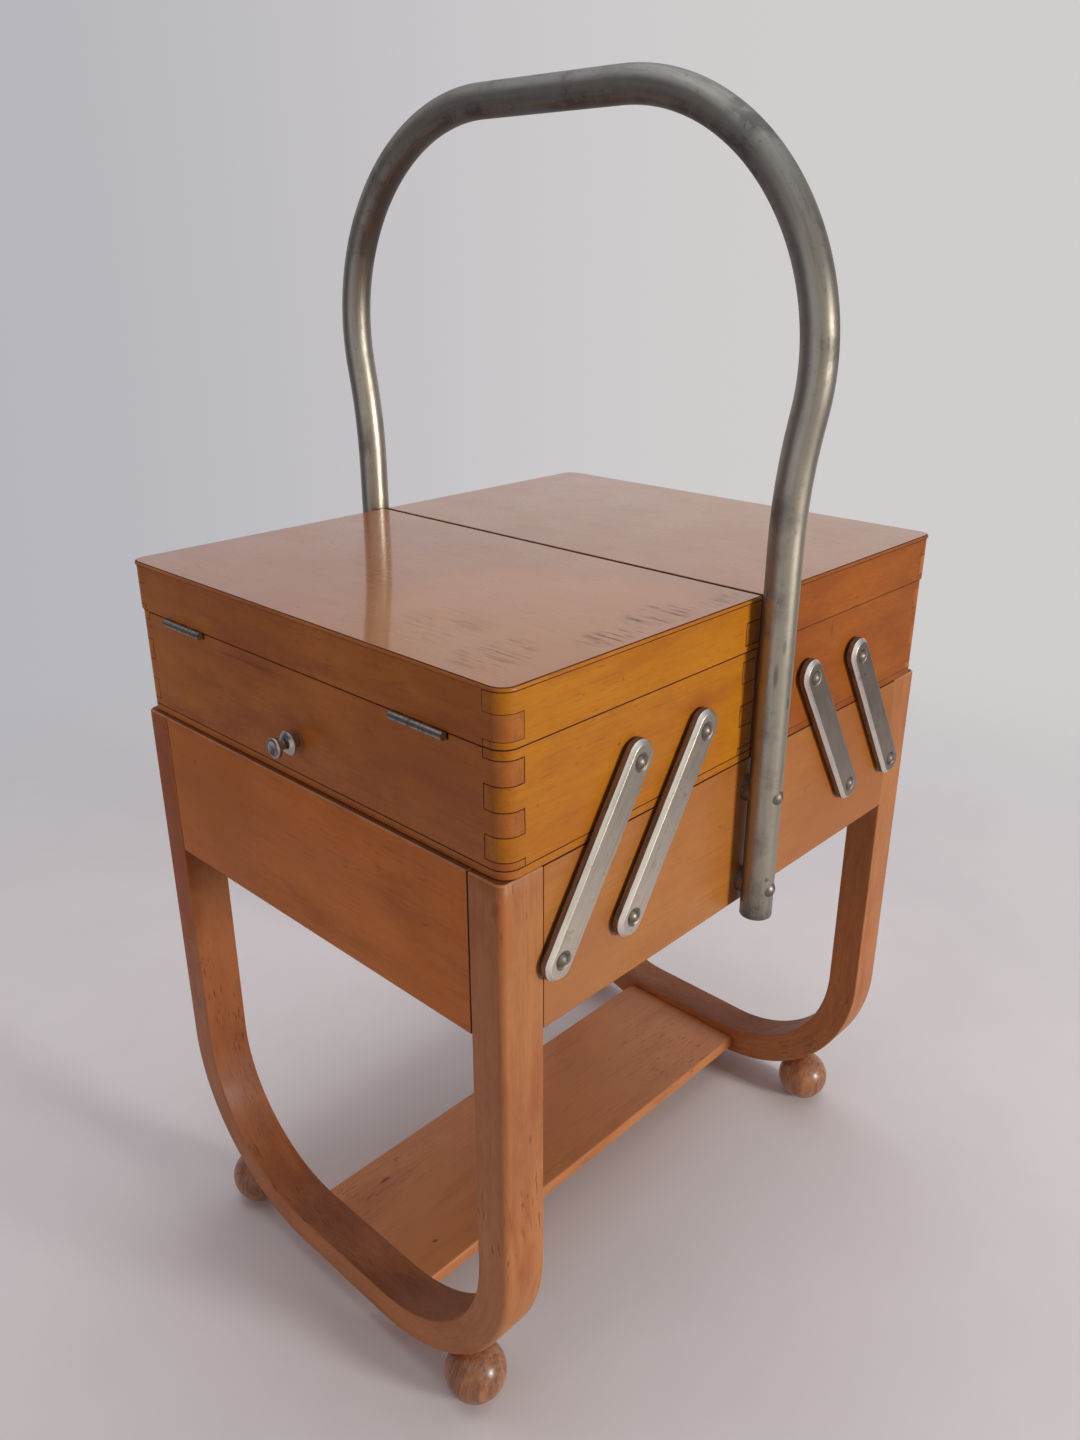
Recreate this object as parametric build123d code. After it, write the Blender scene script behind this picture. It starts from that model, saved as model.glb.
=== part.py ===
"""Sewing box on bent-wood legs.

Two trays with hinged lids sit side by side on a low open case. Four pressed steel links
carry each tray, so it swings up, outwards and down without tilting. The case hangs between
two U-shaped bent-wood frames that stand on turned ball feet, a shelf board ties the frames
together near the floor, and one bent steel tube makes the carrying handle.

All sizes are in millimetres. X runs along the box, Y across it and Z up. The origin is on
the floor, under the middle of the box. The front is at -Y, the left tray is at -X.
"""
import math
import os

from build123d import *

os.makedirs("parts", exist_ok=True)

# Case and bent-wood frames
box_width = 267.0            # across the case and the trays
case_length = 335.0          # over the two frames
case_top = 319.5             # rim of the case above the floor
case_height = 78.5           # of the end and side panels
panel_thickness = 12.0
post_width = 24.0            # of the frame's strip, along X
post_thickness = 19.0        # of the frame's strip, across its bend
bend_radius = 98.0           # outside of the bend
ground_gap = 13.0            # floor to the frame's underside
post_round = 3.5             # outermost long edges of the frame
edge_break = 0.8             # all other long edges of the frame
ply_thickness = 4.0          # case bottom and tray bottoms
case_bottom_rise = 4.0       # case bottom above the panels' lower edges
groove_depth = 5.0           # of the groove that holds the case bottom

# Ball feet and shelf
ball_diameter = 32.0
ball_flat = 0.3              # worn off the ball where it stands
ball_seat = 0.6              # how deep the ball is hollowed to fit the bend
dowel_diameter = 6.0
dowel_depth = 11.0           # of the foot's dowel in the frame
shelf_width = 92.0
shelf_thickness = 8.0
shelf_rise = 5.0             # above the frames' underside
shelf_round = 1.5

# Trays
seam = 1.0                   # between the two trays
end_ledge = 2.5              # how far the case stands out past a tray's end
rest_gap = 0.3               # between the closed tray and the case rim
tray_height = 55.0           # with its plywood bottom
board = 11.0                 # thickness of the tray and lid boards
corner_round = 8.0           # outer corners of trays and lids
seam_round = 1.0             # corners at the seam
finger = 10.75               # height of one finger of the corner joints
tray_finger_start = 4.4      # from the tray's rim down to its first finger
lid_finger_start = 6.8       # from the top of the lid's boards down to its finger

# Lids
lid_gap = 0.4                # between the lid and the tray
lid_board_height = 20.8
lid_board_overhang = 0.6     # of the lid's boards past the tray
lid_panel_overhang = 1.1     # of the lid's top panel past the tray
lid_panel_thickness = 4.0
lid_panel_round = 1.3        # upper edge of the top panel

# Hinges at the trays' outer ends
hinge_length = 32.0
hinge_spacing = 174.0        # centre to centre, along Y
hinge_offset = 1.8           # pin axis beyond the tray's end
leaf_thickness = 1.2
leaf_gap = 1.0               # between the closed leaves
leaf_width = 10.5            # from the pin axis inwards
leaf_clearance = 0.3         # round the leaves in their pocket
barrel_diameter = 3.8
pin_diameter = 1.8
knuckle_count = 5
knuckle_gap = 0.2
knuckle_clearance = 0.3      # round a knuckle

# Links
link_length = 87.5           # pivot to pivot
link_lean = 32.5             # degrees from upright, upper end inwards, when closed
link_pitch = 45.5            # inner link to outer link, along X
pivot_inset = 29.5           # case end to the outer link's lower pivot
pivot_height = 34.0          # panel's lower edge to the lower pivots
link_width = 16.0
link_end = 10.0              # pivot to the link's round end
link_depth = 4.6             # of the pressed channel
link_sheet = 1.4
link_bevel = 2.0             # of the channel's pressed edge
link_stand = 1.4             # channel's rim off the wood
link_dimple = 0.5            # depth of the round recess under a screw head
link_dimple_diameter = 8.6

# Screws and spacers
pivot_diameter = 4.0
pivot_grip = 8.0             # of a pivot screw in the wood
pivot_head_diameter = 6.4
pivot_head_height = 1.9
spacer_diameter = 9.0
running_fit = 0.05           # radial, round pins and pivot screws
face_gap = 0.1               # beside a turning link

# Handle
tube_diameter = 16.0
tube_wall = 1.5
handle_gap = 2.0             # side panel to tube
handle_drop = 4.0            # tube's lower ends below the panels' lower edges
handle_straight = 22.5       # lid top to where the tube begins to flare out
flare_radius = 285.0
flare_angle = 11.7           # degrees
arch_radius = 108.0
handle_screw_rises = (12.0, 62.5)    # above the panels' lower edges
handle_screw_diameter = 4.5
handle_screw_head = 8.4
handle_screw_head_height = 2.6
handle_screw_grip = 9.0      # in the side panel
saddle_diameter = 13.0
saddle_reach = 3.0           # how far the saddle spacer reaches up the tube's side

# Knob
knob_rise = 20.5             # above the tray's underside
knob_foot_diameter = 6.4
knob_collar_diameter = 11.8
knob_collar_place = 4.1      # tray's end to the collar's rim
knob_collar_rim = 0.8        # width of the collar's rim
knob_collar_dome = 2.6       # height of the collar's dome on each side
knob_neck_diameter = 4.4
knob_head_diameter = 9.8
knob_head_depth = 2.6
knob_head_round = 1.0
knob_length = 12.8
knob_dish_diameter = 6.6
knob_dish_depth = 0.7        # hollow in the front of the head
knob_stud_diameter = 4.0
knob_stud_length = 8.0

# Places that follow from the sizes above
half_width = box_width / 2
half_length = case_length / 2
case_floor = case_top - case_height
tray_end = half_length - end_ledge
tray_floor = case_top + rest_gap
tray_rim = tray_floor + tray_height
board_floor = tray_floor + ply_thickness
lid_floor = tray_rim + lid_gap
lid_board_top = lid_floor + lid_board_height
lid_top = lid_board_top + lid_panel_thickness
bend_centre_y = half_width - bend_radius
bend_centre_z = ground_gap + bend_radius
frame_x = half_length - post_width / 2
hinge_x = tray_end + hinge_offset
hinge_z = lid_floor - leaf_thickness - leaf_gap / 2
lower_pivot_z = case_floor + pivot_height
outer_pivot_x = half_length - pivot_inset
inner_pivot_x = outer_pivot_x - link_pitch
pivot_shift_x = link_length * math.sin(math.radians(link_lean))
pivot_shift_z = link_length * math.cos(math.radians(link_lean))
link_face = link_stand + link_depth
inner_bevel = link_bevel - link_sheet * (2 - math.sqrt(2))   # keeps the sheet's thickness round the edge
handle_y = half_width + handle_gap + tube_diameter / 2
handle_foot = case_floor - handle_drop
handle_bend_start = lid_top + handle_straight
handle_screw_heights = [case_floor + rise for rise in handle_screw_rises]
knob_z = tray_floor + knob_rise
shelf_floor = ground_gap + shelf_rise


def block(x, y, z):
    """A box between pairs of limits along X, Y and Z."""
    size = [high - low for low, high in (x, y, z)]
    middle = [(high + low) / 2 for low, high in (x, y, z)]
    return Pos(*middle) * Box(*size)


def rod(start, end, radius):
    """A round bar from one point to another."""
    along = Vector(*end) - Vector(*start)
    return extrude(Plane(origin=start, z_dir=along) * Circle(radius), along.length)


def left(shape):
    """The left-hand twin of a right-hand piece."""
    return mirror(shape, Plane.YZ)


def back(shape):
    """The back twin of a front piece."""
    return mirror(shape, Plane.XZ)


def group(shapes):
    """Several separate solids of one kind as one shape."""
    return Compound([solid for shape in shapes for solid in shape.solids()])


def save(name, shape):
    """Write one piece, or one group of like pieces, to its own file."""
    export_step(shape, f"parts/{name}.step")


def dome_radius(across, height):
    """Radius of the ball whose cap is so wide across and so high."""
    return (across ** 2 / 4 + height ** 2) / (2 * height)


def domed_pin(head_at, direction, shank, grip, head, head_height):
    """A domed head that sits at head_at, on a shank that runs back along the axis."""
    ball = dome_radius(head, head_height)
    lean = math.asin(head / 2 / ball) / 2
    middle = (ball * math.sin(lean), head_height - ball + ball * math.cos(lean))
    outline = [Line((0, -grip), (shank / 2, -grip)), Line((shank / 2, -grip), (shank / 2, 0)),
               Line((shank / 2, 0), (head / 2, 0)),
               ThreePointArc((head / 2, 0), middle, (0, head_height)),
               Line((0, head_height), (0, -grip))]
    profile = Plane.XZ * make_face(outline)
    return Plane(origin=head_at, z_dir=direction) * revolve(profile, Axis.Z)


def bend_outline(inset):
    """The U outline, moved inwards by inset, as a face in the YZ plane."""
    width = box_width - 2 * inset
    height = case_top - ground_gap - inset
    face = Pos(0, case_top - height / 2) * Rectangle(width, height)
    face = fillet(face.vertices().sort_by(Axis.Y)[:2], bend_radius - inset)
    return face


def bend_block(inset, above=0.0):
    """The U outline carried along X through the right-hand frame's thickness."""
    face = Plane.YZ * bend_outline(inset)
    solid = Pos(half_length - post_width, 0, 0) * extrude(face, post_width)
    if above:
        solid += block((half_length - post_width, half_length),
                       (inset - half_width, half_width - inset), (case_top, case_top + above))
    return solid


def long_edges(solid, x=None):
    """Edges along the bend of a frame, on the end face at x where x is given."""
    picked = [edge for edge in solid.edges().filter_by(Axis.X, reverse=True)
              if (edge @ 0.5).Z < case_top - edge_break]
    if x is not None:
        picked = [edge for edge in picked if abs((edge @ 0.5).X - x) < edge_break]
    return ShapeList(picked)


def foot_centre():
    """Centre of the ball that stands under the front right bend."""
    height = ball_diameter / 2 - ball_flat
    reach = bend_radius + ball_diameter / 2 - ball_seat
    out = math.sqrt(reach ** 2 - (bend_centre_z - height) ** 2)
    return frame_x, -(bend_centre_y + out), height


def foot_dowel():
    """Dowel from the ball's centre square into the bend."""
    ball = Vector(*foot_centre())
    bend = Vector(frame_x, -bend_centre_y, bend_centre_z)
    inwards = (bend - ball).normalized()
    length = ball_diameter / 2 - ball_seat + dowel_depth
    return rod(tuple(ball), tuple(ball + inwards * length), dowel_diameter / 2)


def make_foot():
    """Turned ball with a small flat to stand on, hollowed to the bend, and its dowel."""
    x, y, z = foot_centre()
    ball = Pos(x, y, z) * Sphere(ball_diameter / 2)
    ball -= Pos(x, y, -ball_diameter / 2) * Box(ball_diameter, ball_diameter, ball_diameter)
    return ball - bend_block(0) + foot_dowel()


def make_leg_frame():
    """Right-hand U frame: one bent strip whose uprights are the case's corner posts."""
    outer = bend_block(0)
    outer = fillet(long_edges(outer, half_length), post_round)
    outer = fillet(long_edges(outer, half_length - post_width), edge_break)
    frame = outer - bend_block(post_thickness, above=post_thickness)
    inside = half_width - post_thickness + edge_break / 2
    inner_edges = [edge for edge in long_edges(frame)
                   if abs((edge @ 0.5).Y) < inside and (edge @ 0.5).Z > ground_gap + post_thickness / 2]
    frame = fillet(inner_edges, edge_break)
    return frame - foot_dowel() - back(foot_dowel())


def bottom_sheet():
    """Full outline of the case bottom, before it is notched round the posts."""
    low = case_floor + case_bottom_rise
    x = half_length - panel_thickness + groove_depth
    y = half_width - panel_thickness + groove_depth
    return block((-x, x), (-y, y), (low, low + ply_thickness))


def make_end_panel():
    """Right-hand end panel, flush with the frame's outer face."""
    y = half_width - post_thickness
    panel = block((half_length - panel_thickness, half_length), (-y, y), (case_floor, case_top))
    return panel - bottom_sheet()


def lower_pivots():
    """Places of the lower pivots on the right half's front, inner link first."""
    return [(inner_pivot_x, lower_pivot_z), (outer_pivot_x, lower_pivot_z)]


def upper_pivots():
    """Places of the upper pivots of the same links."""
    return [(x - pivot_shift_x, z + pivot_shift_z) for x, z in lower_pivots()]


def pivot_hole(x, z):
    """Screw hole for one pivot in the wood of the front."""
    depth = pivot_grip + face_gap
    return rod((x, -half_width, z), (x, -half_width + depth, z), pivot_diameter / 2 + running_fit)


def handle_screw_hole(z):
    """Hole for one handle screw, through the tube and into the front panel."""
    outside = -handle_y - tube_diameter
    inside = -half_width + handle_screw_grip + face_gap
    return rod((0, outside, z), (0, inside, z), handle_screw_diameter / 2 + running_fit)


def make_side_panel():
    """Front side panel between the two frames."""
    x = half_length - post_width
    panel = block((-x, x), (-half_width, panel_thickness - half_width), (case_floor, case_top))
    panel -= bottom_sheet()
    for hole_x, hole_z in lower_pivots():
        panel -= pivot_hole(hole_x, hole_z)
        panel -= pivot_hole(-hole_x, hole_z)
    for height in handle_screw_heights:
        panel -= handle_screw_hole(height)
    return panel


def make_shelf():
    """Low board between the frames, with its long edges rounded."""
    x = half_length - post_width
    shelf = block((-x, x), (-shelf_width / 2, shelf_width / 2),
                  (shelf_floor, shelf_floor + shelf_thickness))
    return fillet(shelf.edges().filter_by(Axis.X), shelf_round)


def handle_path():
    """Centre line of the handle tube, from the back foot over the top to the front foot."""
    rise = Line((handle_y, handle_foot), (handle_y, handle_bend_start))
    flare = JernArc(rise @ 1, rise % 1, flare_radius, -flare_angle)
    arch = JernArc(flare @ 1, flare % 1, arch_radius, 90 + flare_angle)
    crown = Line(arch @ 1, (-(arch @ 1).X, (arch @ 1).Y))
    arch_down = JernArc(crown @ 1, crown % 1, arch_radius, 90 + flare_angle)
    flare_in = JernArc(arch_down @ 1, arch_down % 1, flare_radius, -flare_angle)
    fall = Line(flare_in @ 1, (-handle_y, handle_foot))
    return Plane.YZ * Wire([rise, flare, arch, crown, arch_down, flare_in, fall])


def tube_along(path, radius):
    """Round bar of the given radius along the handle's path."""
    return sweep(Plane(origin=path @ 0, z_dir=path % 0) * Circle(radius), path)


def make_handle_tube():
    """Bent steel tube, open at both lower ends, drilled for its four screws."""
    path = handle_path()
    tube = tube_along(path, tube_diameter / 2) - tube_along(path, tube_diameter / 2 - tube_wall)
    for height in handle_screw_heights:
        tube -= handle_screw_hole(height)
        tube -= back(handle_screw_hole(height))
    return tube


def make_saddle(height):
    """Spacer between the front panel and the tube, hollowed to cup the tube."""
    inner = half_width + handle_gap + saddle_reach
    saddle = rod((0, -half_width, height), (0, -inner, height), saddle_diameter / 2)
    saddle -= rod((0, -handle_y, height - saddle_diameter), (0, -handle_y, height + saddle_diameter),
                  tube_diameter / 2)
    return saddle - handle_screw_hole(height)


def make_handle_screw(height):
    """Round-head screw through tube and saddle, its head cut to sit on the tube."""
    sink = tube_diameter / 2 - math.sqrt((tube_diameter / 2) ** 2 - (handle_screw_head / 2) ** 2)
    head_y = handle_y + tube_diameter / 2 - sink
    reach = head_y - half_width + handle_screw_grip
    screw = domed_pin((0, -head_y, height), (0, -1, 0), handle_screw_diameter, reach,
                             handle_screw_head, handle_screw_head_height)
    column = rod((0, -handle_y, height - handle_screw_head), (0, -handle_y, height + handle_screw_head),
                 tube_diameter / 2)
    shank = rod((0, -head_y - face_gap, height), (0, reach - head_y, height), handle_screw_diameter / 2)
    return screw - (column - shank)


def make_pivot_screw(x, z):
    """Pivot screw of one link at the front: domed head over the link, shank in the wood."""
    head_y = half_width + link_face - link_dimple + face_gap
    grip = head_y - half_width + pivot_grip
    return domed_pin((x, -head_y, z), (0, -1, 0), pivot_diameter, grip,
                            pivot_head_diameter, pivot_head_height)


def make_pivot_spacer(x, z):
    """Sleeve that holds one link off the wood, inside the link's channel."""
    far = half_width + link_face - link_sheet - face_gap
    sleeve = rod((x, -half_width, z), (x, -far, z), spacer_diameter / 2)
    return sleeve - rod((x, -half_width, z), (x, -far, z), pivot_diameter / 2 + running_fit)


def make_link(low, high):
    """Pressed steel link at the front: a shallow channel with round ends and a bevelled edge."""
    middle = ((low[0] + high[0]) / 2, -half_width - link_stand, (low[1] + high[1]) / 2)
    along = (high[0] - low[0], 0, high[1] - low[1])
    plane = Plane(origin=middle, x_dir=along, z_dir=(0, -1, 0))
    length = link_length + 2 * link_end
    link = extrude(SlotOverall(length, link_width), link_depth)
    link = chamfer(link.edges().group_by(Axis.Z)[-1], link_bevel)
    hollow = SlotOverall(length - 2 * link_sheet, link_width - 2 * link_sheet)
    hollow = extrude(hollow, link_depth - link_sheet)
    link -= chamfer(hollow.edges().group_by(Axis.Z)[-1], inner_bevel)
    for side in (-1, 1):
        place = Pos(side * link_length / 2, 0, 0)
        link -= place * extrude(Circle(pivot_diameter / 2 + running_fit), link_depth)
        recess = Pos(0, 0, link_depth - link_dimple) * Circle(link_dimple_diameter / 2)
        link -= place * extrude(recess, link_dimple)
    return plane * link


def tray_outline(overhang, seam_overhang=0.0):
    """Plan of the right tray or lid: round outer corners, nearly square corners at the seam."""
    near = seam / 2 - seam_overhang
    far = tray_end + overhang
    face = Pos((near + far) / 2, 0) * Rectangle(far - near, box_width + 2 * overhang)
    face = fillet(face.vertices().group_by(Axis.X)[-1], corner_round)
    return fillet(face.vertices().group_by(Axis.X)[0], seam_round)


def comb_boards(overhang, low, high, first_finger):
    """Four boards of a tray or lid, with finger joints cut down each corner.

    The end boards keep the fingers and the front and back boards fill the gaps between
    them. Returns the outer end board, the inner board, the front board and the back board.
    """
    near = seam / 2
    far = tray_end + overhang
    side = half_width + overhang
    outline = tray_outline(overhang)
    inside = Pos((near + far) / 2, 0) * Rectangle(far - near - 2 * board, 2 * side - 2 * board)
    ring = Pos(0, 0, low) * extrude(outline - inside, high - low)
    levels = []
    top = high - first_finger
    while top > low:
        levels.append((max(top - finger, low), top))
        top -= 2 * finger
    boards = []
    for zone in ((far - board, far), (near, near + board)):
        keep = block(zone, (board - side, side - board), (low, high))
        for level in levels:
            keep += block(zone, (-side, side), level)
        boards.append(ring & keep)
    sides = (ring - boards[0] - boards[1]).solids().sort_by(Axis.Y)
    return boards[0], boards[1], sides[0], sides[-1]


def hinge_places():
    """Middle of each hinge along Y."""
    return -hinge_spacing / 2, hinge_spacing / 2


def barrel(y, start, length, radius):
    """Stretch of a hinge's barrel, from start along Y, on the hinge at y."""
    first = y - hinge_length / 2 + start
    return rod((hinge_x, first, hinge_z), (hinge_x, first + length, hinge_z), radius)


def make_leaf(y, upper):
    """One leaf of a butt hinge with its share of the knuckles, bored for the pin."""
    knuckle = hinge_length / knuckle_count
    near, far = leaf_gap / 2, leaf_gap / 2 + leaf_thickness
    levels = (hinge_z + near, hinge_z + far) if upper else (hinge_z - far, hinge_z - near)
    leaf = block((hinge_x - leaf_width, hinge_x), (y - hinge_length / 2, y + hinge_length / 2), levels)
    reach = barrel_diameter / 2 + knuckle_clearance
    own = range(1 if upper else 0, knuckle_count, 2)
    others = range(0 if upper else 1, knuckle_count, 2)
    for index in own:
        leaf += barrel(y, index * knuckle + knuckle_gap / 2, knuckle - knuckle_gap, barrel_diameter / 2)
    for index in others:
        leaf -= barrel(y, index * knuckle - knuckle_gap / 2, knuckle + knuckle_gap, reach)
    bore = pin_diameter / 2 + running_fit
    return leaf - barrel(y, -knuckle_gap, hinge_length + 2 * knuckle_gap, bore)


def make_pin(y):
    """Hinge pin, as long as its barrel."""
    return barrel(y, knuckle_gap / 2, hinge_length - knuckle_gap, pin_diameter / 2)


def hinge_pocket(y):
    """Room for both leaves and the barrel, cut from the tray's and the lid's end boards."""
    ease = leaf_clearance
    reach = hinge_length / 2 + ease
    pocket = block((hinge_x - leaf_width - ease, hinge_x), (y - reach, y + reach),
                   (hinge_z - leaf_gap / 2 - leaf_thickness, lid_floor))
    return pocket + barrel(y, -ease, hinge_length + 2 * ease, barrel_diameter / 2 + knuckle_clearance)


def knob_rod(start, end, diameter):
    """Round length of the right knob, between two distances from the tray's end."""
    return rod((tray_end + start, 0, knob_z), (tray_end + end, 0, knob_z), diameter / 2)


def make_knob():
    """Turned knob: stud, foot, a collar domed on both sides, a neck and a head with a dished front."""
    inner, outer = knob_collar_place, knob_collar_place + knob_collar_rim
    knob = knob_rod(-knob_stud_length, 0, knob_stud_diameter) + knob_rod(0, inner, knob_foot_diameter)
    knob += knob_rod(inner, outer, knob_collar_diameter)
    for place, way in ((inner, -1), (outer, 1)):
        knob += domed_pin((tray_end + place, 0, knob_z), (way, 0, 0), knob_foot_diameter,
                          knob_collar_rim, knob_collar_diameter, knob_collar_dome)
    head = knob_rod(knob_length - knob_head_depth, knob_length, knob_head_diameter)
    head = fillet(head.edges().filter_by(GeomType.CIRCLE), knob_head_round)
    neck = knob_rod(outer, knob_length - knob_head_depth / 2, knob_neck_diameter)
    ball = dome_radius(knob_dish_diameter, knob_dish_depth)
    dish = Pos(tray_end + knob_length - knob_dish_depth + ball, 0, knob_z) * Sphere(ball)
    return knob + neck + head - dish


def make_tray():
    """Pieces of the right tray, by name."""
    end, inner, front, rear = comb_boards(0, board_floor, tray_rim, tray_finger_start)
    for y in hinge_places():
        end -= hinge_pocket(y)
    end -= make_knob()
    for x, z in upper_pivots():
        front -= pivot_hole(x, z)
        rear -= back(pivot_hole(x, z))
    screws = [make_pivot_screw(x, z) for x, z in upper_pivots()]
    spacers = [make_pivot_spacer(x, z) for x, z in upper_pivots()]
    sheet = Pos(0, 0, tray_floor) * extrude(tray_outline(0), ply_thickness)
    return {
        "tray_end_board": end,
        "tray_inner_board": inner,
        "tray_front_board": front,
        "tray_back_board": rear,
        "tray_bottom": sheet,
        "tray_knob": make_knob(),
        "tray_pivot_screws": group(screws + [back(screw) for screw in screws]),
        "tray_pivot_spacers": group(spacers + [back(spacer) for spacer in spacers]),
        "tray_hinge_leaves": group([make_leaf(y, upper=False) for y in hinge_places()]),
        "hinge_pins": group([make_pin(y) for y in hinge_places()]),
    }


def make_lid():
    """Pieces of the right lid, by name."""
    overhang = lid_board_overhang
    end, inner, front, rear = comb_boards(overhang, lid_floor, lid_board_top, lid_finger_start)
    for y in hinge_places():
        end -= hinge_pocket(y)
    panel = Pos(0, 0, lid_board_top) * extrude(tray_outline(lid_panel_overhang), lid_panel_thickness)
    panel = fillet(panel.edges().group_by(Axis.Z)[-1], lid_panel_round)
    return {
        "lid_end_board": end,
        "lid_inner_board": inner,
        "lid_front_board": front,
        "lid_back_board": rear,
        "lid_panel": panel,
        "lid_hinge_leaves": group([make_leaf(y, upper=True) for y in hinge_places()]),
    }


def make_links():
    """The four links of the right tray, by name."""
    pieces = {}
    for kind, low, high in zip(("inner", "outer"), lower_pivots(), upper_pivots()):
        link = make_link(low, high)
        pieces[f"{kind}_link_front"] = link
        pieces[f"{kind}_link_back"] = back(link)
    return pieces


def save_stand():
    """Write everything that is fixed: frames, panels, shelf, feet and handle."""
    frame = make_leg_frame()
    end_panel = make_end_panel()
    side_panel = make_side_panel()
    foot = make_foot()
    save("right_leg_frame", frame)
    save("left_leg_frame", left(frame))
    save("right_end_panel", end_panel)
    save("left_end_panel", left(end_panel))
    save("front_side_panel", side_panel)
    save("back_side_panel", back(side_panel))
    save("case_bottom", bottom_sheet() - frame - left(frame))
    save("shelf", make_shelf())
    save("front_right_foot", foot)
    save("front_left_foot", left(foot))
    save("back_right_foot", back(foot))
    save("back_left_foot", left(back(foot)))
    save("handle_tube", make_handle_tube())
    saddles = [make_saddle(height) for height in handle_screw_heights]
    save("handle_spacers", group(saddles + [back(saddle) for saddle in saddles]))
    screws = [make_handle_screw(height) for height in handle_screw_heights]
    save("handle_screws", group(screws + [back(screw) for screw in screws]))
    pivots = [make_pivot_screw(x, z) for x, z in lower_pivots()]
    pivots += [left(screw) for screw in pivots]
    save("case_pivot_screws", group(pivots + [back(screw) for screw in pivots]))
    sleeves = [make_pivot_spacer(x, z) for x, z in lower_pivots()]
    sleeves += [left(sleeve) for sleeve in sleeves]
    save("case_pivot_spacers", group(sleeves + [back(sleeve) for sleeve in sleeves]))


def save_moving_parts():
    """Write the trays, lids and links of both sides."""
    for name, piece in {**make_tray(), **make_lid(), **make_links()}.items():
        save(f"right_{name}", piece)
        save(f"left_{name}", left(piece))


save_stand()
save_moving_parts()
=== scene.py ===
"""Looks of the sewing box: lacquered wood, plated steel, smooth surfaces and a pale studio.

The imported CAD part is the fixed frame. Everything is in metres, with X along the box, Y across
it and Z up; the front is at -Y and the left tray at -X. Only a Mark is in millimetres.
"""
import logging
import math
from dataclasses import dataclass, field
from enum import Enum, IntEnum
from functools import cached_property
from typing import Any, Sequence

import bmesh
import bpy
import numpy as np
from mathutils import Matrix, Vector


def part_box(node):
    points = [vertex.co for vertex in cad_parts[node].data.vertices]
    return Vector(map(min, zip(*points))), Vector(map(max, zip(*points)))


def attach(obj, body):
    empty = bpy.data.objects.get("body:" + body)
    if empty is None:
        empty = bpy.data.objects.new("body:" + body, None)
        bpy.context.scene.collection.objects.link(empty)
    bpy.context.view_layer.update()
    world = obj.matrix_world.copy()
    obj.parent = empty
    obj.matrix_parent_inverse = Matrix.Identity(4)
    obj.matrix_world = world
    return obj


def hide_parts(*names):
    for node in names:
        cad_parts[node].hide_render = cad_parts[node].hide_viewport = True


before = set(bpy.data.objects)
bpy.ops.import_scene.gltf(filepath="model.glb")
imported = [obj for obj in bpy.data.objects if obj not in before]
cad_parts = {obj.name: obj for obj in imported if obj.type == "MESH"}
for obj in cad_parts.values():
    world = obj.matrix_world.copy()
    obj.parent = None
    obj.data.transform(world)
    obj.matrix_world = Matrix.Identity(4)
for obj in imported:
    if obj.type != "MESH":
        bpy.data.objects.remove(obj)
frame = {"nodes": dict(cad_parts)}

log = logging.getLogger("sewing_box")
Colour = tuple[float, float, float]
Place = tuple[float, float, float]
Material = bpy.types.Material
Mesh = bpy.types.Mesh
SIDES = {"left": -1.0, "right": 1.0}
ENDS = {"front": -1.0, "back": 1.0}
QUARTER = math.pi / 2
# Heights this near each other are the same, and points this near each other are doubles.
SAME = 1e-5
DOUBLE = 1e-6
# Edges that turn more than this are sharp, and faces that turn less are one flat face.
SHARP = math.radians(40.0)
FLAT = math.radians(0.6)
# Least cosines of a face that looks up, and of a face that shows end grain.
UPWARDS = 0.9
END_ON = 0.97
# Width of the broken edges of the steel.
BROKEN = 0.0003


class Grain(Enum):
    """Direction of a board's grain: the order of the axes along, across and through it."""

    ALONG_X = (0, 2, 1)
    ALONG_Y = (1, 2, 0)
    FLAT_X = (0, 1, 2)
    FLAT_Y = (1, 0, 2)


class Part(IntEnum):
    """Parts of a dressed board, as the numbers of their finishes."""

    FACE = 0
    SEAM = 1
    END_GRAIN = 2
    WORN_AND_LIT = 3
    LEDGE = 4


@dataclass(frozen=True)
class Mark:
    """A knot, a dent, a stain, a scuffed spot or a patch of painted shade or painted highlight, as
    an oval in millimetres with its half sizes.
    """

    at: Place
    size: Place
    strength: float = 0.8
    tint: Colour | None = None


def marks_on(axis: int, level: float, deep: float, *rows: tuple) -> tuple[Mark, ...]:
    """Return marks on one flat face.

    Args:
        axis: number of the axis that the face looks along.
        level: place of the face on that axis.
        deep: half size of the marks along that axis.
        rows: middle and half sizes on the other two axes, then any strength and tint.

    Returns:
        The marks.
    """
    marks = []
    for row in rows:
        at, size = list(row[:2]), list(row[2:4])
        at.insert(axis, level)
        size.insert(axis, deep)
        marks.append(Mark(tuple(at), tuple(size), *row[4:]))
    return tuple(marks)


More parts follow.
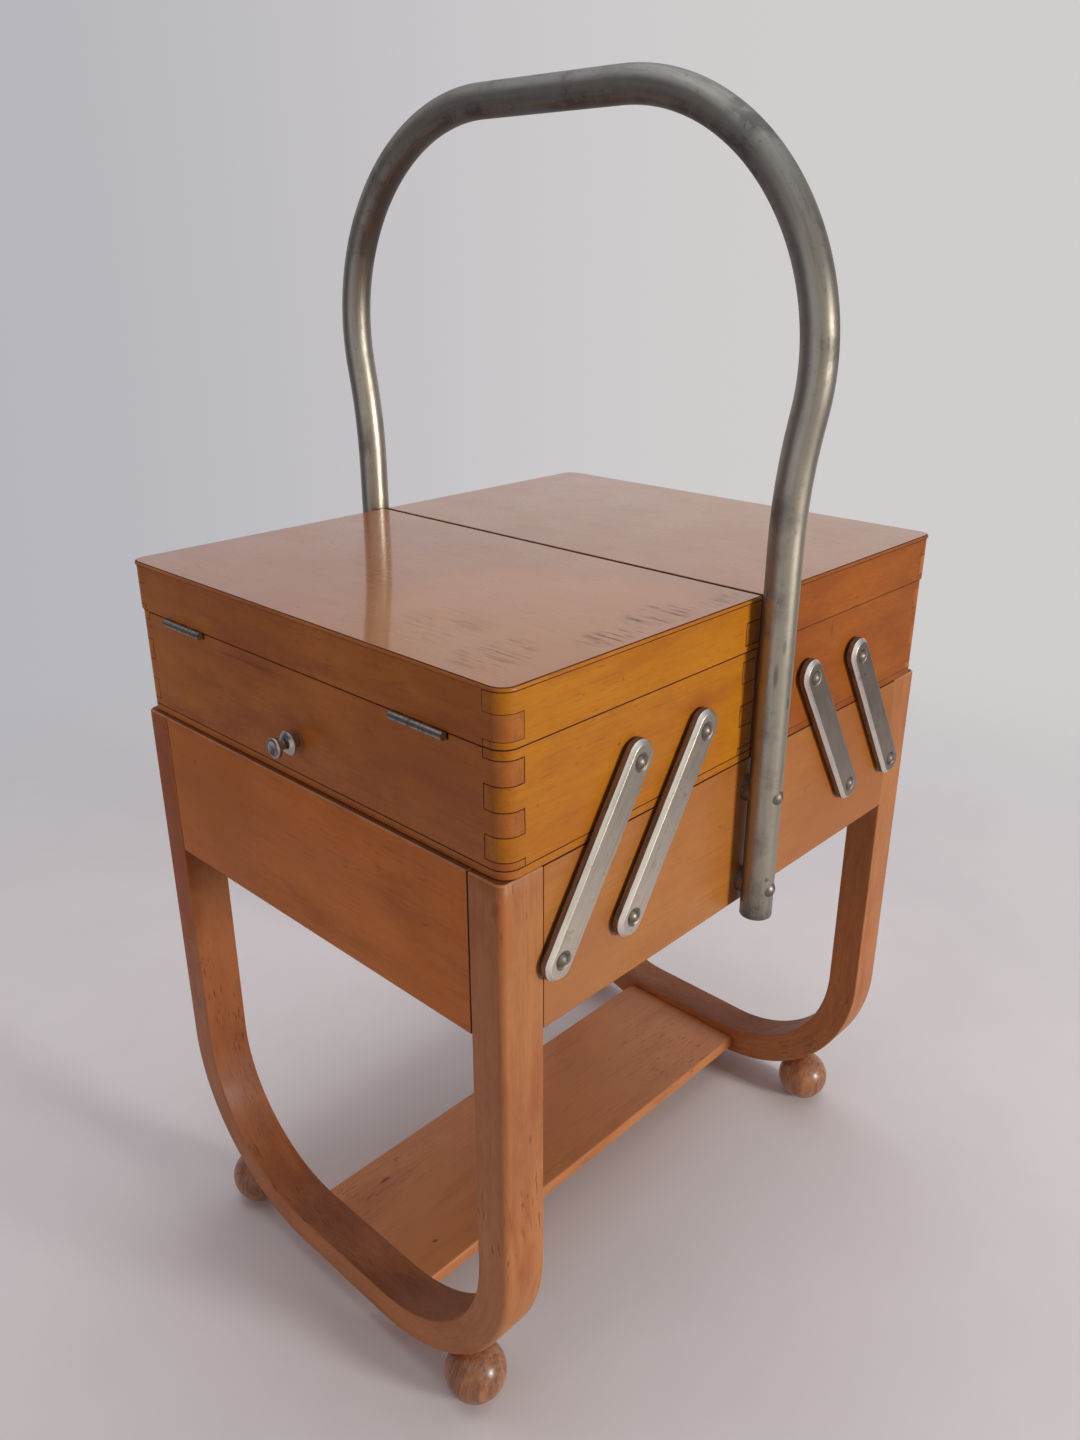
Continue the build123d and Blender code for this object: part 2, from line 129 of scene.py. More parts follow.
class Sheet:
    """Node sheet of a material or of the world, with short calls that add a node and wire it.

    Each call takes numbers or the outputs of other nodes, and returns the new node's output.
    """

    def __init__(self, owner: Material | bpy.types.World) -> None:
        """Start an empty node sheet on a material or world."""
        owner.use_nodes = True
        self.owner, self.tree = owner, owner.node_tree
        self.tree.nodes.clear()

    def add(self, kind: str, inputs: dict[Any, Any] | None = None,
            **settings: Any) -> bpy.types.Node:
        """Add a node and feed its inputs.

        Args:
            kind: Blender's name of the node type, after ShaderNode.
            inputs: socket name or number to a value or another node's output.
            settings: attributes of the node itself.

        Returns:
            The new node.
        """
        node = self.tree.nodes.new("ShaderNode" + kind)
        for key, value in settings.items():
            setattr(node, key, value)
        for key, value in (inputs or {}).items():
            socket = node.inputs[key]
            if isinstance(value, bpy.types.NodeSocket):
                self.tree.links.new(value, socket)
            else:
                socket.default_value = (*value, 1.0) if socket.type == "RGBA" else value
        return node

    def place(self) -> Any:
        """Return the object coordinates, in metres."""
        return self.add("TexCoord").outputs["Object"]

    def attribute(self, name: str, output: str = "Fac") -> Any:
        """Return an attribute of the piece."""
        return self.add("Attribute", attribute_name=name).outputs[output]

    def stretch(self, vector: Any, scale: Place, shift: Place = (0, 0, 0)) -> Any:
        """Return a vector times a scale along each axis, plus a shift."""
        inputs = {"Vector": vector, "Scale": scale, "Location": shift}
        return self.add("Mapping", inputs).outputs[0]

    def noise(self, vector: Any, scale: float | Place, detail: float = 3.0,
              rough: float = 0.55) -> Any:
        """Return a grey noise, about 0.5, with so many cells per unit, overall or by axis."""
        if isinstance(scale, tuple):
            vector, scale = self.stretch(vector, scale), 1.0
        inputs = {"Vector": vector, "Scale": scale, "Detail": detail, "Roughness": rough}
        return self.add("TexNoise", inputs).outputs[0]

    def math(self, operation: str, a: Any, b: Any, clamp: bool = False) -> Any:
        """Return one arithmetic operation on two numbers."""
        node = self.add("Math", {0: a, 1: b}, operation=operation, use_clamp=clamp)
        return node.outputs[0]

    def times(self, a: Any, b: Any) -> Any:
        """Return the product of two numbers."""
        return self.math("MULTIPLY", a, b)

    def total(self, *parts: tuple[Any, float]) -> Any:
        """Return the sum of values, each given with its weight."""
        result: Any = 0.0
        for value, weight in parts:
            inputs = {0: value, 1: weight, 2: result}
            result = self.add("Math", inputs, operation="MULTIPLY_ADD").outputs[0]
        return result

    def range(self, value: Any, low: float, high: float, to_low: float, to_high: float,
              kind: str = "LINEAR") -> Any:
        """Return a value carried from one range to another, held at its ends."""
        inputs = {"Value": value, "From Min": low, "From Max": high,
                  "To Min": to_low, "To Max": to_high}
        return self.add("MapRange", inputs, interpolation_type=kind).outputs[0]

    def ease(self, value: Any, low: float, high: float, to_high: float = 1.0) -> Any:
        """Return a smooth step of a value, from 0 at low to to_high at high."""
        return self.range(value, low, high, 0.0, to_high, "SMOOTHSTEP")

    def blend(self, share: Any, a: Any, b: Any) -> Any:
        """Return a mix of two colours by a share from 0 to 1."""
        return self.add("Mix", {0: share, 6: a, 7: b}, data_type="RGBA").outputs[2]

    def length(self, vector: Any) -> Any:
        """Return the length of a vector."""
        return self.add("VectorMath", {0: vector}, operation="LENGTH").outputs["Value"]

    def along(self, vector: Any, direction: Place) -> Any:
        """Return how far a vector reaches along a direction."""
        inputs = {0: vector, 1: direction}
        return self.add("VectorMath", inputs, operation="DOT_PRODUCT").outputs["Value"]

    def spot(self, place: Any, mark: Mark, ragged: float = 0.0) -> Any:
        """Return a mark's strength in its middle, falling to 0 at its rim.

        It falls with the length of (place - at) / size, plus a noise times how ragged it is.
        """
        scale = tuple(1000.0 / part for part in mark.size)
        shift = tuple(-at / part for at, part in zip(mark.at, mark.size))
        reach = self.length(self.stretch(place, scale, shift))
        if ragged:
            wander = self.noise(place, 1200.0 / sorted(mark.size)[1])
            reach = self.total((reach, 1.0), (wander, ragged), (1.0, -ragged / 2))
        return self.times(self.ease(reach, 1.0, 0.35), mark.strength)

    def bump(self, height: Any, depth: float) -> Any:
        """Return a normal bumped by a height, depth metres high at height 1."""
        inputs = {"Height": height, "Distance": depth, "Strength": 1.0}
        return self.add("Bump", inputs).outputs[0]

    def finish(self, inputs: dict[str, Any]) -> Material:
        """Put the main shader and the output on the sheet, and return the finished material."""
        shader = self.add("BsdfPrincipled", inputs)
        self.add("OutputMaterial", {"Surface": shader.outputs[0]})
        return self.owner


@dataclass(frozen=True)
class Lacquer:
    """Lacquered hardwood, whose grain follows the piece's own grain attribute.

    The attribute holds metres along, across and through the grain. The tone attribute makes one
    board lighter or darker than its neighbour, and the attribute of soil and shade, over 1 where
    it is strongest, darkens the wood as soil and as painted shade. Marks lie in the wood, some as
    painted shade or highlight, and scuffs are patches of short hair lines in the coat.
    """

    name: str
    light: Colour
    deep: Colour
    red: Colour = (0.33, 0.085, 0.012)
    fleck: Colour = (0.12, 0.034, 0.008)
    dirt_and_shade_tint: Colour = (0.15, 0.039, 0.012)
    figure: float = 0.36
    blotches: float = 0.35
    flecks: float = 0.3
    lines: float = 0.14
    coat: float = 0.2
    coat_rough: float = 0.22
    gloss: float = 0.25
    rough: float = 0.42
    relief: float = 0.00012
    coat_relief: float = 0.000012
    marks: tuple[Mark, ...] = ()
    scuffs: tuple[Mark, ...] = ()

    @staticmethod
    def streaks(sheet: Sheet, grain: Any) -> Any:
        """Return the soft streaks of the growth rings, the mottling and the pores, about 0.5."""
        rings = sheet.noise(grain, (2.4, 42.0, 210.0), 4.0, 0.6)
        mottle = sheet.noise(grain, (34.0, 110.0, 140.0), 3.5, 0.6)
        pores = sheet.noise(grain, (190.0, 800.0, 900.0), 2.5, 0.65)
        return sheet.total((rings, 0.34), (mottle, 0.38), (pores, 0.28))

    @staticmethod
    def dashes(sheet: Sheet, grain: Any) -> Any:
        """Return the short dark flecks: high where a stretched noise peaks, in loose patches."""
        dots = sheet.noise(grain, (130.0, 800.0, 800.0), 1.5, 0.45)
        patches = sheet.noise(grain, (12.0, 26.0, 26.0), 2.0, 0.5)
        return sheet.times(sheet.ease(dots, 0.60, 0.72), sheet.ease(patches, 0.44, 0.62))

    def marked(self, sheet: Sheet, place: Any, grain: Any, colour: Any) -> tuple[Any, Any]:
        """Lay the marks and the scuffs over a colour.

        Args:
            sheet: the node sheet.
            place: the object coordinates.
            grain: the grain's own coordinates.
            colour: the colour below.

        Returns:
            The new colour, and the weight of the coat, which the scuffs have thinned.
        """
        for mark in self.marks:
            colour = sheet.blend(sheet.spot(place, mark, 1.1), colour, mark.tint or self.fleck)
        coat: Any = self.coat
        if self.scuffs:
            hairs = sheet.noise(grain, (55.0, 620.0, 100.0), 3.0, 0.65)
            hairs = sheet.ease(hairs, 0.49, 0.60)
            for scuff in self.scuffs:
                share = sheet.times(sheet.spot(place, scuff, 0.9), hairs)
                colour = sheet.blend(share, colour, self.fleck)
                coat = sheet.math("SUBTRACT", coat, share, clamp=True)
        return colour, coat

    @cached_property
    def material(self) -> Material:
        """The lacquer's material, built once.

        The wood goes from deep to light with its streaks, a wide cloud, the board's own tone and
        the attribute of soil and shade. Over it lie red patches, dark lines, flecks, soil that is
        partly painted shade, and the marks.
        """
        sheet = Sheet(bpy.data.materials.new(self.name))
        grain, place = sheet.attribute("grain", "Vector"), sheet.place()
        wear_and_shade = sheet.attribute("wear_and_shade")
        streaks, dashes = self.streaks(sheet, grain), self.dashes(sheet, grain)
        cloud = sheet.noise(place, 13.0)
        figure = sheet.range(streaks, 0.36, 0.64, -self.figure, self.figure)
        shade = sheet.range(cloud, 0.3, 0.7, 0.2, 0.8)
        # The attribute of soil and shade lowers the tone and adds flecks and soil colour: soil,
        # and painted shade where a piece paints it
        tone = sheet.total((figure, 1.0), (shade, 1.0), (sheet.attribute("tone"), 1.0),
                           (wear_and_shade, -0.45))
        tone = sheet.math("MAXIMUM", sheet.math("MINIMUM", tone, 1.0), 0.0)
        colour = sheet.blend(tone, self.deep, self.light)
        patches = sheet.noise(grain, (14.0, 55.0, 55.0), 3.0, 0.6)
        red = sheet.times(sheet.ease(patches, 0.50, 0.70), self.blotches)
        colour = sheet.blend(red, colour, self.red)
        hairs = sheet.noise(grain, (26.0, 620.0, 620.0), 2.0, 0.5)
        dark = sheet.times(sheet.ease(hairs, 0.52, 0.72), self.lines)
        colour = sheet.blend(dark, colour, self.fleck)
        flecks = sheet.total((dashes, self.flecks), (sheet.times(dashes, wear_and_shade), 0.5))
        colour = sheet.blend(sheet.math("MINIMUM", flecks, 1.0), colour, self.fleck)
        dirt_and_shade_mask = sheet.total((wear_and_shade, 1.0), (cloud, 1.0), (streaks, 3.0))
        colour = sheet.blend(sheet.ease(dirt_and_shade_mask, 3.1, 4.6, 0.95), colour, self.dirt_and_shade_tint)
        colour, coat = self.marked(sheet, place, grain, colour)
        smear = sheet.noise(place, 30.0, 4.0, 0.6)
        matt = sheet.range(smear, 0.3, 0.7, self.rough - 0.07, self.rough + 0.10)
        rough = sheet.total((matt, 1.0), (sheet.math("MINIMUM", wear_and_shade, 1.0), 0.12))
        ripple = sheet.noise(place, 230.0, 2.0, 0.5)
        height = sheet.total((streaks, 0.6), (dashes, -0.5), (ripple, 0.3))
        return sheet.finish({
            "Base Color": colour, "Roughness": rough, "Normal": sheet.bump(height, self.relief),
            "IOR": 1.5, "Specular IOR Level": self.gloss, "Coat Weight": coat,
            "Coat Roughness": self.coat_rough, "Coat IOR": 1.5,
            "Coat Normal": sheet.bump(ripple, self.coat_relief)})


@dataclass(frozen=True)
class Plating:
    """Nickel-plated steel that has dulled, with a brown patina and fine lines from rubbing."""

    name: str
    clean: Colour
    dull: Colour
    metal: float = 1.0
    rough: float = 0.34
    spread: float = 0.5
    scale: float = 60.0
    rub: Place = (30.0, 30.0, 30.0)
    relief: float = 0.00003
    pit: Colour = (0.02, 0.014, 0.01)
    marks: tuple[Mark, ...] = ()

    @cached_property
    def material(self) -> Material:
        """The plating's material, built once.

        The metal goes from the clean to the dark colour with patches, specks, rubbing lines and
        the attribute of soil and shade, which is patina, soil and painted shade.
        """
        sheet = Sheet(bpy.data.materials.new(self.name))
        place, wear_and_shade = sheet.place(), sheet.attribute("wear_and_shade")
        patches = sheet.noise(place, self.scale, 4.0, 0.62)
        specks = sheet.noise(place, self.scale * 9.0, 3.0, 0.6)
        lines = sheet.noise(sheet.attribute("grain", "Vector"), self.rub, 3.0, 0.6)
        # The attribute of soil and shade pulls the metal to its dark colour: patina and soil, and
        # painted shade where a piece paints it
        share = sheet.total((sheet.ease(patches, 0.60 - 0.25 * self.spread, 0.80), 0.7),
                            (sheet.ease(specks, 0.60, 0.74), 0.3),
                            (sheet.ease(lines, 0.45, 0.75), 0.22), (wear_and_shade, 0.8))
        share = sheet.math("MINIMUM", share, 1.0)
        colour = sheet.blend(share, self.clean, self.dull)
        for mark in self.marks:
            colour = sheet.blend(sheet.spot(place, mark), colour, self.pit)
        matt = sheet.range(patches, 0.3, 0.7, self.rough - 0.04, self.rough + 0.08)
        height = sheet.total((lines, 0.6), (specks, 0.25))
        return sheet.finish({
            "Base Color": colour, "Metallic": self.metal,
            "Roughness": sheet.total((matt, 1.0), (share, 0.14)),
            "Normal": sheet.bump(height, self.relief)})


class Finishes:
    """All the finishes of the box: the boards and their edges, the stand and the metals."""

    hinge_line = marks_on(0, -165, 2, (32, 369, 38, 1.2, 0.35))
    board = Lacquer(
        "board lacquer", (0.54, 0.208, 0.004), (0.40, 0.123, 0.004), coat=0.14, gloss=0.2,
        marks=marks_on(
            1, -133.5, 2, (-98.9, 357.9, 1.2, 0.9), (-160, 384.5, 0.8, 0.8),
            (-156, 381, 0.8, 0.8), (-98, 386, 0.6, 1.6, 0.5), (-122, 386.5, 1, 0.6, 0.5),
            (-147, 347.6, 0.7, 0.7, 0.6)) + hinge_line)
    # A redder copy of the board lacquer for the end boards, with the reddish colour of their shade
    # painted in
    end_board = Lacquer(
        "end board lacquer", (0.53, 0.188, 0.020), (0.38, 0.108, 0.013), red=(0.27, 0.062, 0.010),
        blotches=0.45, marks=hinge_line)
    red_board = Lacquer(
        "red board lacquer", (0.378, 0.106, 0.006), (0.225, 0.053, 0.004),
        red=(0.22, 0.046, 0.005), blotches=0.5, coat=0.12, gloss=0.2,
        marks=marks_on(1, -134, 2, (66.6, 368, 0.9, 6.2, 0.7)))
    ply = Lacquer("plywood", (0.42, 0.19, 0.06), (0.30, 0.12, 0.035))
    end_grain = Lacquer(
        "end grain", (0.51, 0.182, 0.012), (0.33, 0.098, 0.008), figure=0.6, blotches=0.5,
        flecks=0.6, rough=0.5)
    # Dark joint lines, and painted shade where the same finish is laid in gaps and under overhangs
    seam_and_shade = Lacquer(
        "darkened edge", (0.11, 0.028, 0.006), (0.06, 0.015, 0.004), coat=0.0, gloss=0.15,
        rough=0.6)
    # The ledge under the trays: dust, and painted shade from the tray above
    ledge = Lacquer(
        "dusty edge", (0.25, 0.088, 0.034), (0.17, 0.054, 0.020), coat=0.0, gloss=0.15, rough=0.6)
    # A pale arris: partly rubbing of the edge, partly painted highlight where the edge catches
    # light
    worn_and_lit = Lacquer(
        "worn arris", (0.60, 0.315, 0.165), (0.44, 0.185, 0.075), coat=0.0, gloss=0.3, rough=0.5)
    # Its two wide marks on the front side are painted shade: darker towards the right end and low
    # at the left
    case = Lacquer(
        "case lacquer", (0.47, 0.182, 0.026), (0.36, 0.120, 0.016), coat=0.3, gloss=0.3,
        marks=marks_on(1, -133.5, 2, (55.5, 281.6, 0.9, 0.9), (-21.6, 290.4, 1.2, 0.8, 0.6)) +
        marks_on(
            1, -133.5, 10, (125, 275, 130, 80, 0.6, (0.32, 0.088, 0.006)),
            (-130, 262, 60, 40, 0.5, (0.32, 0.122, 0.042))))
    # A redder copy of the case lacquer for the end panels, with the reddish colour of their shade
    # painted in; its wide mark darkens the end towards the back as painted shade
    case_end = Lacquer(
        "case end lacquer", (0.60, 0.190, 0.023), (0.45, 0.125, 0.014), red=(0.27, 0.062, 0.010),
        coat=0.1, gloss=0.15,
        marks=marks_on(0, -167.5, 10, (80, 290, 60, 60, 0.55, (0.43, 0.130, 0.018))) +
        marks_on(0, -167.5, 2, (90, 302, 2, 1.2, 0.5)))
    # Its wide pale mark on the left lid is a painted highlight
    top = Lacquer(
        "lid top lacquer", (0.52, 0.180, 0.030), (0.42, 0.130, 0.024), figure=0.3, blotches=0.2,
        flecks=0.25, lines=0.1, coat=1.0, coat_rough=0.06, gloss=0.3, rough=0.28,
        marks=marks_on(2, 400, 10, (-80, -70, 110, 100, 0.35, (0.74, 0.30, 0.06))) +
        marks_on(2, 400, 2, (-155.7, 3.5, 1.3, 1.3), (-80, -127.5, 1.6, 2.2, 0.6)),
        scuffs=marks_on(
            2, 400, 10, (-95, -122, 20, 12, 0.8), (-56, -118, 26, 15, 0.9),
            (-138, -105, 26, 22, 0.5), (-130, -60, 30, 30, 0.3), (-20, -125, 18, 8, 0.5)))
    stains_and_shade = (Mark((-166.5, -132.5, 299), (5, 5, 20), 0.6, (0.46, 0.13, 0.02)),
            Mark((-167, -133, 296), (1.2, 1.2, 6), 0.75),
            # This wide dark patch on the back leg's end face is painted shade
            Mark((-167, 125, 250), (10, 20, 130), 0.9, (0.30, 0.066, 0.004)),
            Mark((-167.5, -130, 308), (3, 3, 5), 0.45))
    frame = Lacquer(
        "frame lacquer", (0.475, 0.189, 0.056), (0.33, 0.110, 0.031), red=(0.31, 0.072, 0.016),
        figure=0.4, blotches=0.6, flecks=0.6, coat=0.12, coat_rough=0.35, gloss=0.35, rough=0.52,
        marks=stains_and_shade + marks_on(
            1, -133.5, 2, (-161, 317, 0.5, 5.5, 0.7), (-152, 186.5, 1.2, 3, 0.7),
            (-157, 152.7, 1.2, 2.2, 0.6), (-154, 156, 1, 1.6, 0.6)))
    shelf = Lacquer(
        "shelf lacquer", (0.56, 0.218, 0.074), (0.44, 0.160, 0.052), figure=0.25, flecks=0.6,
        coat=0.3, coat_rough=0.3, rough=0.46,
        marks=marks_on(2, 26, 2, (-112.6, 27.8, 4.2, 1.6, 0.85), (-122, -28.4, 2, 1.4, 0.85)))
    ball = Lacquer(
        "ball lacquer", (0.45, 0.195, 0.080), (0.15, 0.058, 0.028), fleck=(0.06, 0.02, 0.01),
        figure=0.7, coat=0.45, coat_rough=0.24, gloss=0.4, rough=0.40)
    pits = (Mark((-6.6, -148, 366), (1.5, 1.5, 8), 0.45),
            Mark((-4.5, -150, 380), (1.2, 1.2, 5), 0.4),
            Mark((0, -151.5, 352), (1.2, 1.2, 4), 0.4),
            Mark((-4, -151, 260), (1.8, 1.8, 2), 0.5))
    tube = Plating(
        "tube nickel", (0.36, 0.322, 0.262), (0.105, 0.093, 0.083), metal=0.85, rough=0.35,
        scale=40.0, rub=(45.0, 700.0, 700.0), marks=pits)
    pressed = {"scale": 70.0, "rub": (40.0, 900.0, 900.0)}
    notch = (Mark((-80.6, -138, 319.6), (1.6, 4, 2.2)),)
    link = Plating(
        "link nickel", (0.57, 0.505, 0.42), (0.10, 0.08, 0.065), spread=0.2, marks=notch,
        **pressed)
    # A darker copy of the link nickel for the right links' faces: painted shade of a darker
    # reflection
    shaded_link = Plating(
        "dull link nickel", (0.36, 0.292, 0.242), (0.08, 0.062, 0.05), rough=0.36, spread=0.3,
        **pressed)
    # The links' bevels take its bright colour as a painted highlight, and their side walls its
    # dark colour as painted shade
    link_edge_light_and_shade = Plating(
        "rubbed link edge", (0.76, 0.70, 0.62), (0.13, 0.10, 0.08), rough=0.30, spread=0.1,
        marks=notch, **pressed)
    screw = Plating(
        "screw steel", (0.20, 0.17, 0.14), (0.045, 0.032, 0.022), rough=0.44, spread=0.8,
        scale=260.0)
    knob = Plating(
        "knob nickel", (0.42, 0.38, 0.33), (0.16, 0.12, 0.085), rough=0.18, spread=0.4,
        scale=160.0)
    hinge = Plating(
        "hinge steel", (0.34, 0.30, 0.25), (0.06, 0.044, 0.03), rough=0.30, spread=0.7,
        scale=220.0)


def read(items: Any, name: str) -> np.ndarray:
    """Return a three-part property of all points or faces of a mesh, one row each."""
    values = np.empty(len(items) * 3)
    items.foreach_get(name, values)
    return values.reshape(-1, 3)


def ramp(values: np.ndarray, start: float, length: float) -> np.ndarray:
    """Return 0 up to a start and 1 past a length from it, which is negative to fall instead."""
    return np.clip((values - start) / length, 0.0, 1.0)


def set_attribute(mesh: Mesh, name: str, values: np.ndarray) -> None:
    """Store an attribute of a mesh: one number, or one row of three, for each point."""
    vector = values.ndim == 2
    layer = mesh.attributes.new(name, "FLOAT_VECTOR" if vector else "FLOAT", "POINT")
    flat = np.ascontiguousarray(values, dtype=np.float32).ravel()
    layer.data.foreach_set("vector" if vector else "value", flat)


def set_finishes(mesh: Mesh, index: np.ndarray) -> None:
    """Give each face of a mesh the number of its finish."""
    mesh.polygons.foreach_set("material_index", index.astype(np.int32))


def turn_out(mesh: Mesh, merge: float = 0.0) -> None:
    """Merge the doubles of a mesh, within a distance if given, and turn its faces outwards."""
    work = bmesh.new()
    work.from_mesh(mesh)
    if merge:
        bmesh.ops.remove_doubles(work, verts=work.verts, dist=merge)
    bmesh.ops.recalc_face_normals(work, faces=work.faces)
    work.to_mesh(mesh)
    work.free()


def skin(name: str, grids: Sequence[tuple[np.ndarray, bool]], caps: bool = False) -> Mesh:
    """Make a smooth mesh from grids of points.

    Face (r, c) of a grid has the corners (r, c), (r, c + 1), (r + 1, c + 1) and (r + 1, c), and
    the last column joins the first where the rows are rings.

    Args:
        name: name of the mesh.
        grids: arrays (rows, points in a row, 3), each with whether its rows are rings.
        caps: whether the first and the last ring of the only grid are closed with a face each.

    Returns:
        The mesh.
    """
    points, faces, start = [], [], 0
    for grid, closed in grids:
        rows, columns, _ = grid.shape
        r = start + columns * np.arange(rows - 1)[:, None]
        c = np.arange(columns if closed else columns - 1)[None, :]
        after = (c + 1) % columns
        corners = (r + c, r + after, r + columns + after, r + columns + c)
        points.append(grid.reshape(-1, 3))
        faces += np.stack(corners, axis=-1).reshape(-1, 4).tolist()
        start += rows * columns
    if caps:
        faces += [list(range(columns)), list(range(start - columns, start))]
    mesh = bpy.data.meshes.new(name)
    mesh.from_pydata(np.concatenate(points).tolist(), [], faces)
    mesh.polygons.foreach_set("use_smooth", np.ones(len(faces), dtype=bool))
    mesh.update()
    return mesh


def arms(angle: np.ndarray | float) -> np.ndarray:
    """Return (cos a, sin a) for each angle a."""
    return np.stack([np.cos(angle), np.sin(angle)], axis=-1)


@dataclass
class Route:
    """Route in the YZ plane, made of straight runs and round bends, added one after another.

    A bend of radius r adds the points centre + r (cos a, sin a) for evenly spaced angles a.
    """

    start: tuple[float, float]
    heading: float
    step: float = math.radians(3.0)
    points: list[np.ndarray] = field(default_factory=list)
    headings: list[np.ndarray] = field(default_factory=list)

    def __post_init__(self) -> None:
        """Put the first point down."""
        self.points.append(np.array([self.start]))
        self.headings.append(np.array([self.heading]))

    def run(self, length: float, parts: int = 1) -> "Route":
        """Go straight on for a length, in equal parts, and return the route."""
        share = np.linspace(0.0, length, parts + 1)[1:, None]
        self.points.append(self.points[-1][-1] + share * arms(self.heading))
        self.headings.append(np.full(parts, self.heading))
        return self

    def bend(self, radius: float, turn: float) -> "Route":
        """Turn by an angle, positive to the left, on a radius, and return the route."""
        parts = max(2, round(abs(turn) / self.step))
        side = math.copysign(1.0, turn)
        outward = self.heading - side * QUARTER
        angles = outward + np.linspace(0.0, turn, parts + 1)[1:]
        centre = self.points[-1][-1] - radius * arms(outward)
        self.points.append(centre + radius * arms(angles))
        self.headings.append(angles + side * QUARTER)
        self.heading += turn
        return self

    def travelled(self) -> np.ndarray:
        """Return the distance along the route at each of its points."""
        steps = np.linalg.norm(np.diff(np.concatenate(self.points), axis=0), axis=1)
        return np.concatenate([[0.0], np.cumsum(steps)])

    def carry(self, profile: np.ndarray) -> np.ndarray:
        """Return the grid of places of a closed profile (x, n) that is carried along the route.

        Point (i, k) lies at centre i plus x_k along X and n_k along the route's left normal.
        """
        centre = np.concatenate(self.points)
        heading = np.concatenate(self.headings)
        normal = np.stack([-np.sin(heading), np.cos(heading)], axis=1)[:, None, :]
        flat = centre[:, None, :] + profile[None, :, 1:2] * normal
        across = np.broadcast_to(profile[None, :, 0:1], (len(centre), len(profile), 1))
        return np.concatenate([across, flat], axis=2)


def unrolled(travelled: np.ndarray, profile: np.ndarray) -> np.ndarray:
    """Return a carried profile's own coordinates, one row (distance, x, n) for each point."""
    along = np.repeat(travelled, len(profile))
    return np.column_stack([along, np.tile(profile, (len(travelled), 1))])


def rounded_rectangle(width: float, height: float, radii: Sequence[float],
                      parts: int = 6) -> np.ndarray:
    """Return a rectangle with round corners, about the origin.

    Corner k is an arc of its own radius, a quarter turn in equal parts. The corners come in the
    order right top, left top, left bottom, right bottom.

    Args:
        width: its size along x.
        height: its size along n.
        radii: the corners' radii.
        parts: number of parts of a corner.

    Returns:
        One row (x, n) for each point.
    """
    corners = []
    for index, radius in enumerate(radii):
        middle = (index + 0.5) * QUARTER
        centre = np.sign(arms(middle)) * (width / 2 - radius, height / 2 - radius)
        angle = middle + np.linspace(-QUARTER / 2, QUARTER / 2, parts + 1)
        corners.append(centre + radius * arms(angle))
    return np.concatenate(corners)


def ring(radius: float, count: int = 64) -> np.ndarray:
    """Return a circle of points about the origin, one row (x, n) for each point."""
    return radius * arms(np.linspace(0.0, 4 * QUARTER, count, endpoint=False))


def raised(flat: np.ndarray, w: float) -> np.ndarray:
    """Return flat points (u, v) at the height w."""
    return np.column_stack([flat, np.full(len(flat), w)])


def break_edges(thing: bpy.types.Object, width: float, angle: float = SHARP, finish: int = 0,
                weighted: bool = False) -> None:
    """Break the sharp edges of a piece with a narrow round, and keep its flat faces flat.

    Args:
        thing: the piece.
        width: width of the round.
        angle: smallest turn of an edge that is broken.
        finish: number of the round's finish.
        weighted: whether each edge's own weight sets its width.
    """
    bevel = thing.modifiers.new("broken edges", "BEVEL")
    bevel.width = width
    bevel.segments = 2
    bevel.limit_method = "WEIGHT" if weighted else "ANGLE"
    bevel.angle_limit = angle
    bevel.material = finish
    smooth = thing.modifiers.new("flat faces stay flat", "WEIGHTED_NORMAL")
    smooth.keep_sharp = True
    smooth.weight = 90


def put(name: str, data: bpy.types.ID) -> bpy.types.Object:
    """Put a mesh, a lamp or a camera in the scene, and return its object."""
    thing = bpy.data.objects.new(name, data)
    bpy.context.scene.collection.objects.link(thing)
    return thing


@dataclass(frozen=True)
class Edges:
    """How the edges of a board look.

    Edges at a height in dark have its weight and show as wider dark lines, and fine is the
    weight of all others. Edges at the height of the pale arris are cut to it, partly rubbing and
    partly painted highlight, and faces at the ledge height take the ledge finish of dust and
    painted shade. A glued joint goes from its height in the CAD to its own.
    """

    dark: dict[float, float] = field(default_factory=dict)
    worn_and_lit: float | None = None
    dust_and_shade: float | None = None
    joint: tuple[float, float] | None = None
    fine: float = 0.42
    line: float = 0.0007
    rubbed_and_lit: float = 0.0006

    @staticmethod
    def sharp(work: bmesh.types.BMesh) -> list[bmesh.types.BMEdge]:
        """Return the sharp edges of a mesh."""
        return [edge for edge in work.edges
                if edge.is_manifold and edge.calc_face_angle() > SHARP]

    @staticmethod
    def level(edge: bmesh.types.BMEdge, height: float) -> bool:
        """Return whether an edge lies at a height."""
        return all(abs(point.co.z - height) < SAME for point in edge.verts)

    def prepare(self, mesh: Mesh) -> None:
        """Merge a copied mesh, join its flat faces and see to its sharp edges.

        The edges of the pale arris, partly rubbing and partly painted highlight, are cut off here,
        and the others are weighed for the bevel.
        """
        work = bmesh.new()
        work.from_mesh(mesh)
        weight = work.edges.layers.float.new("bevel_weight_edge")
        bmesh.ops.remove_doubles(work, verts=work.verts, dist=DOUBLE)
        bmesh.ops.dissolve_limit(work, angle_limit=FLAT, verts=work.verts, edges=work.edges)
        if self.worn_and_lit is not None:
            rubbed_and_lit = [edge for edge in self.sharp(work) if self.level(edge, self.worn_and_lit)]
            bmesh.ops.bevel(work, geom=rubbed_and_lit, offset=self.rubbed_and_lit, segments=2, profile=0.5,
                            affect="EDGES", material=Part.WORN_AND_LIT)
        for edge in self.sharp(work):
            edge[weight] = self.fine
            for height, share in self.dark.items():
                if self.level(edge, height):
                    edge[weight] = share
        work.to_mesh(mesh)
        work.free()


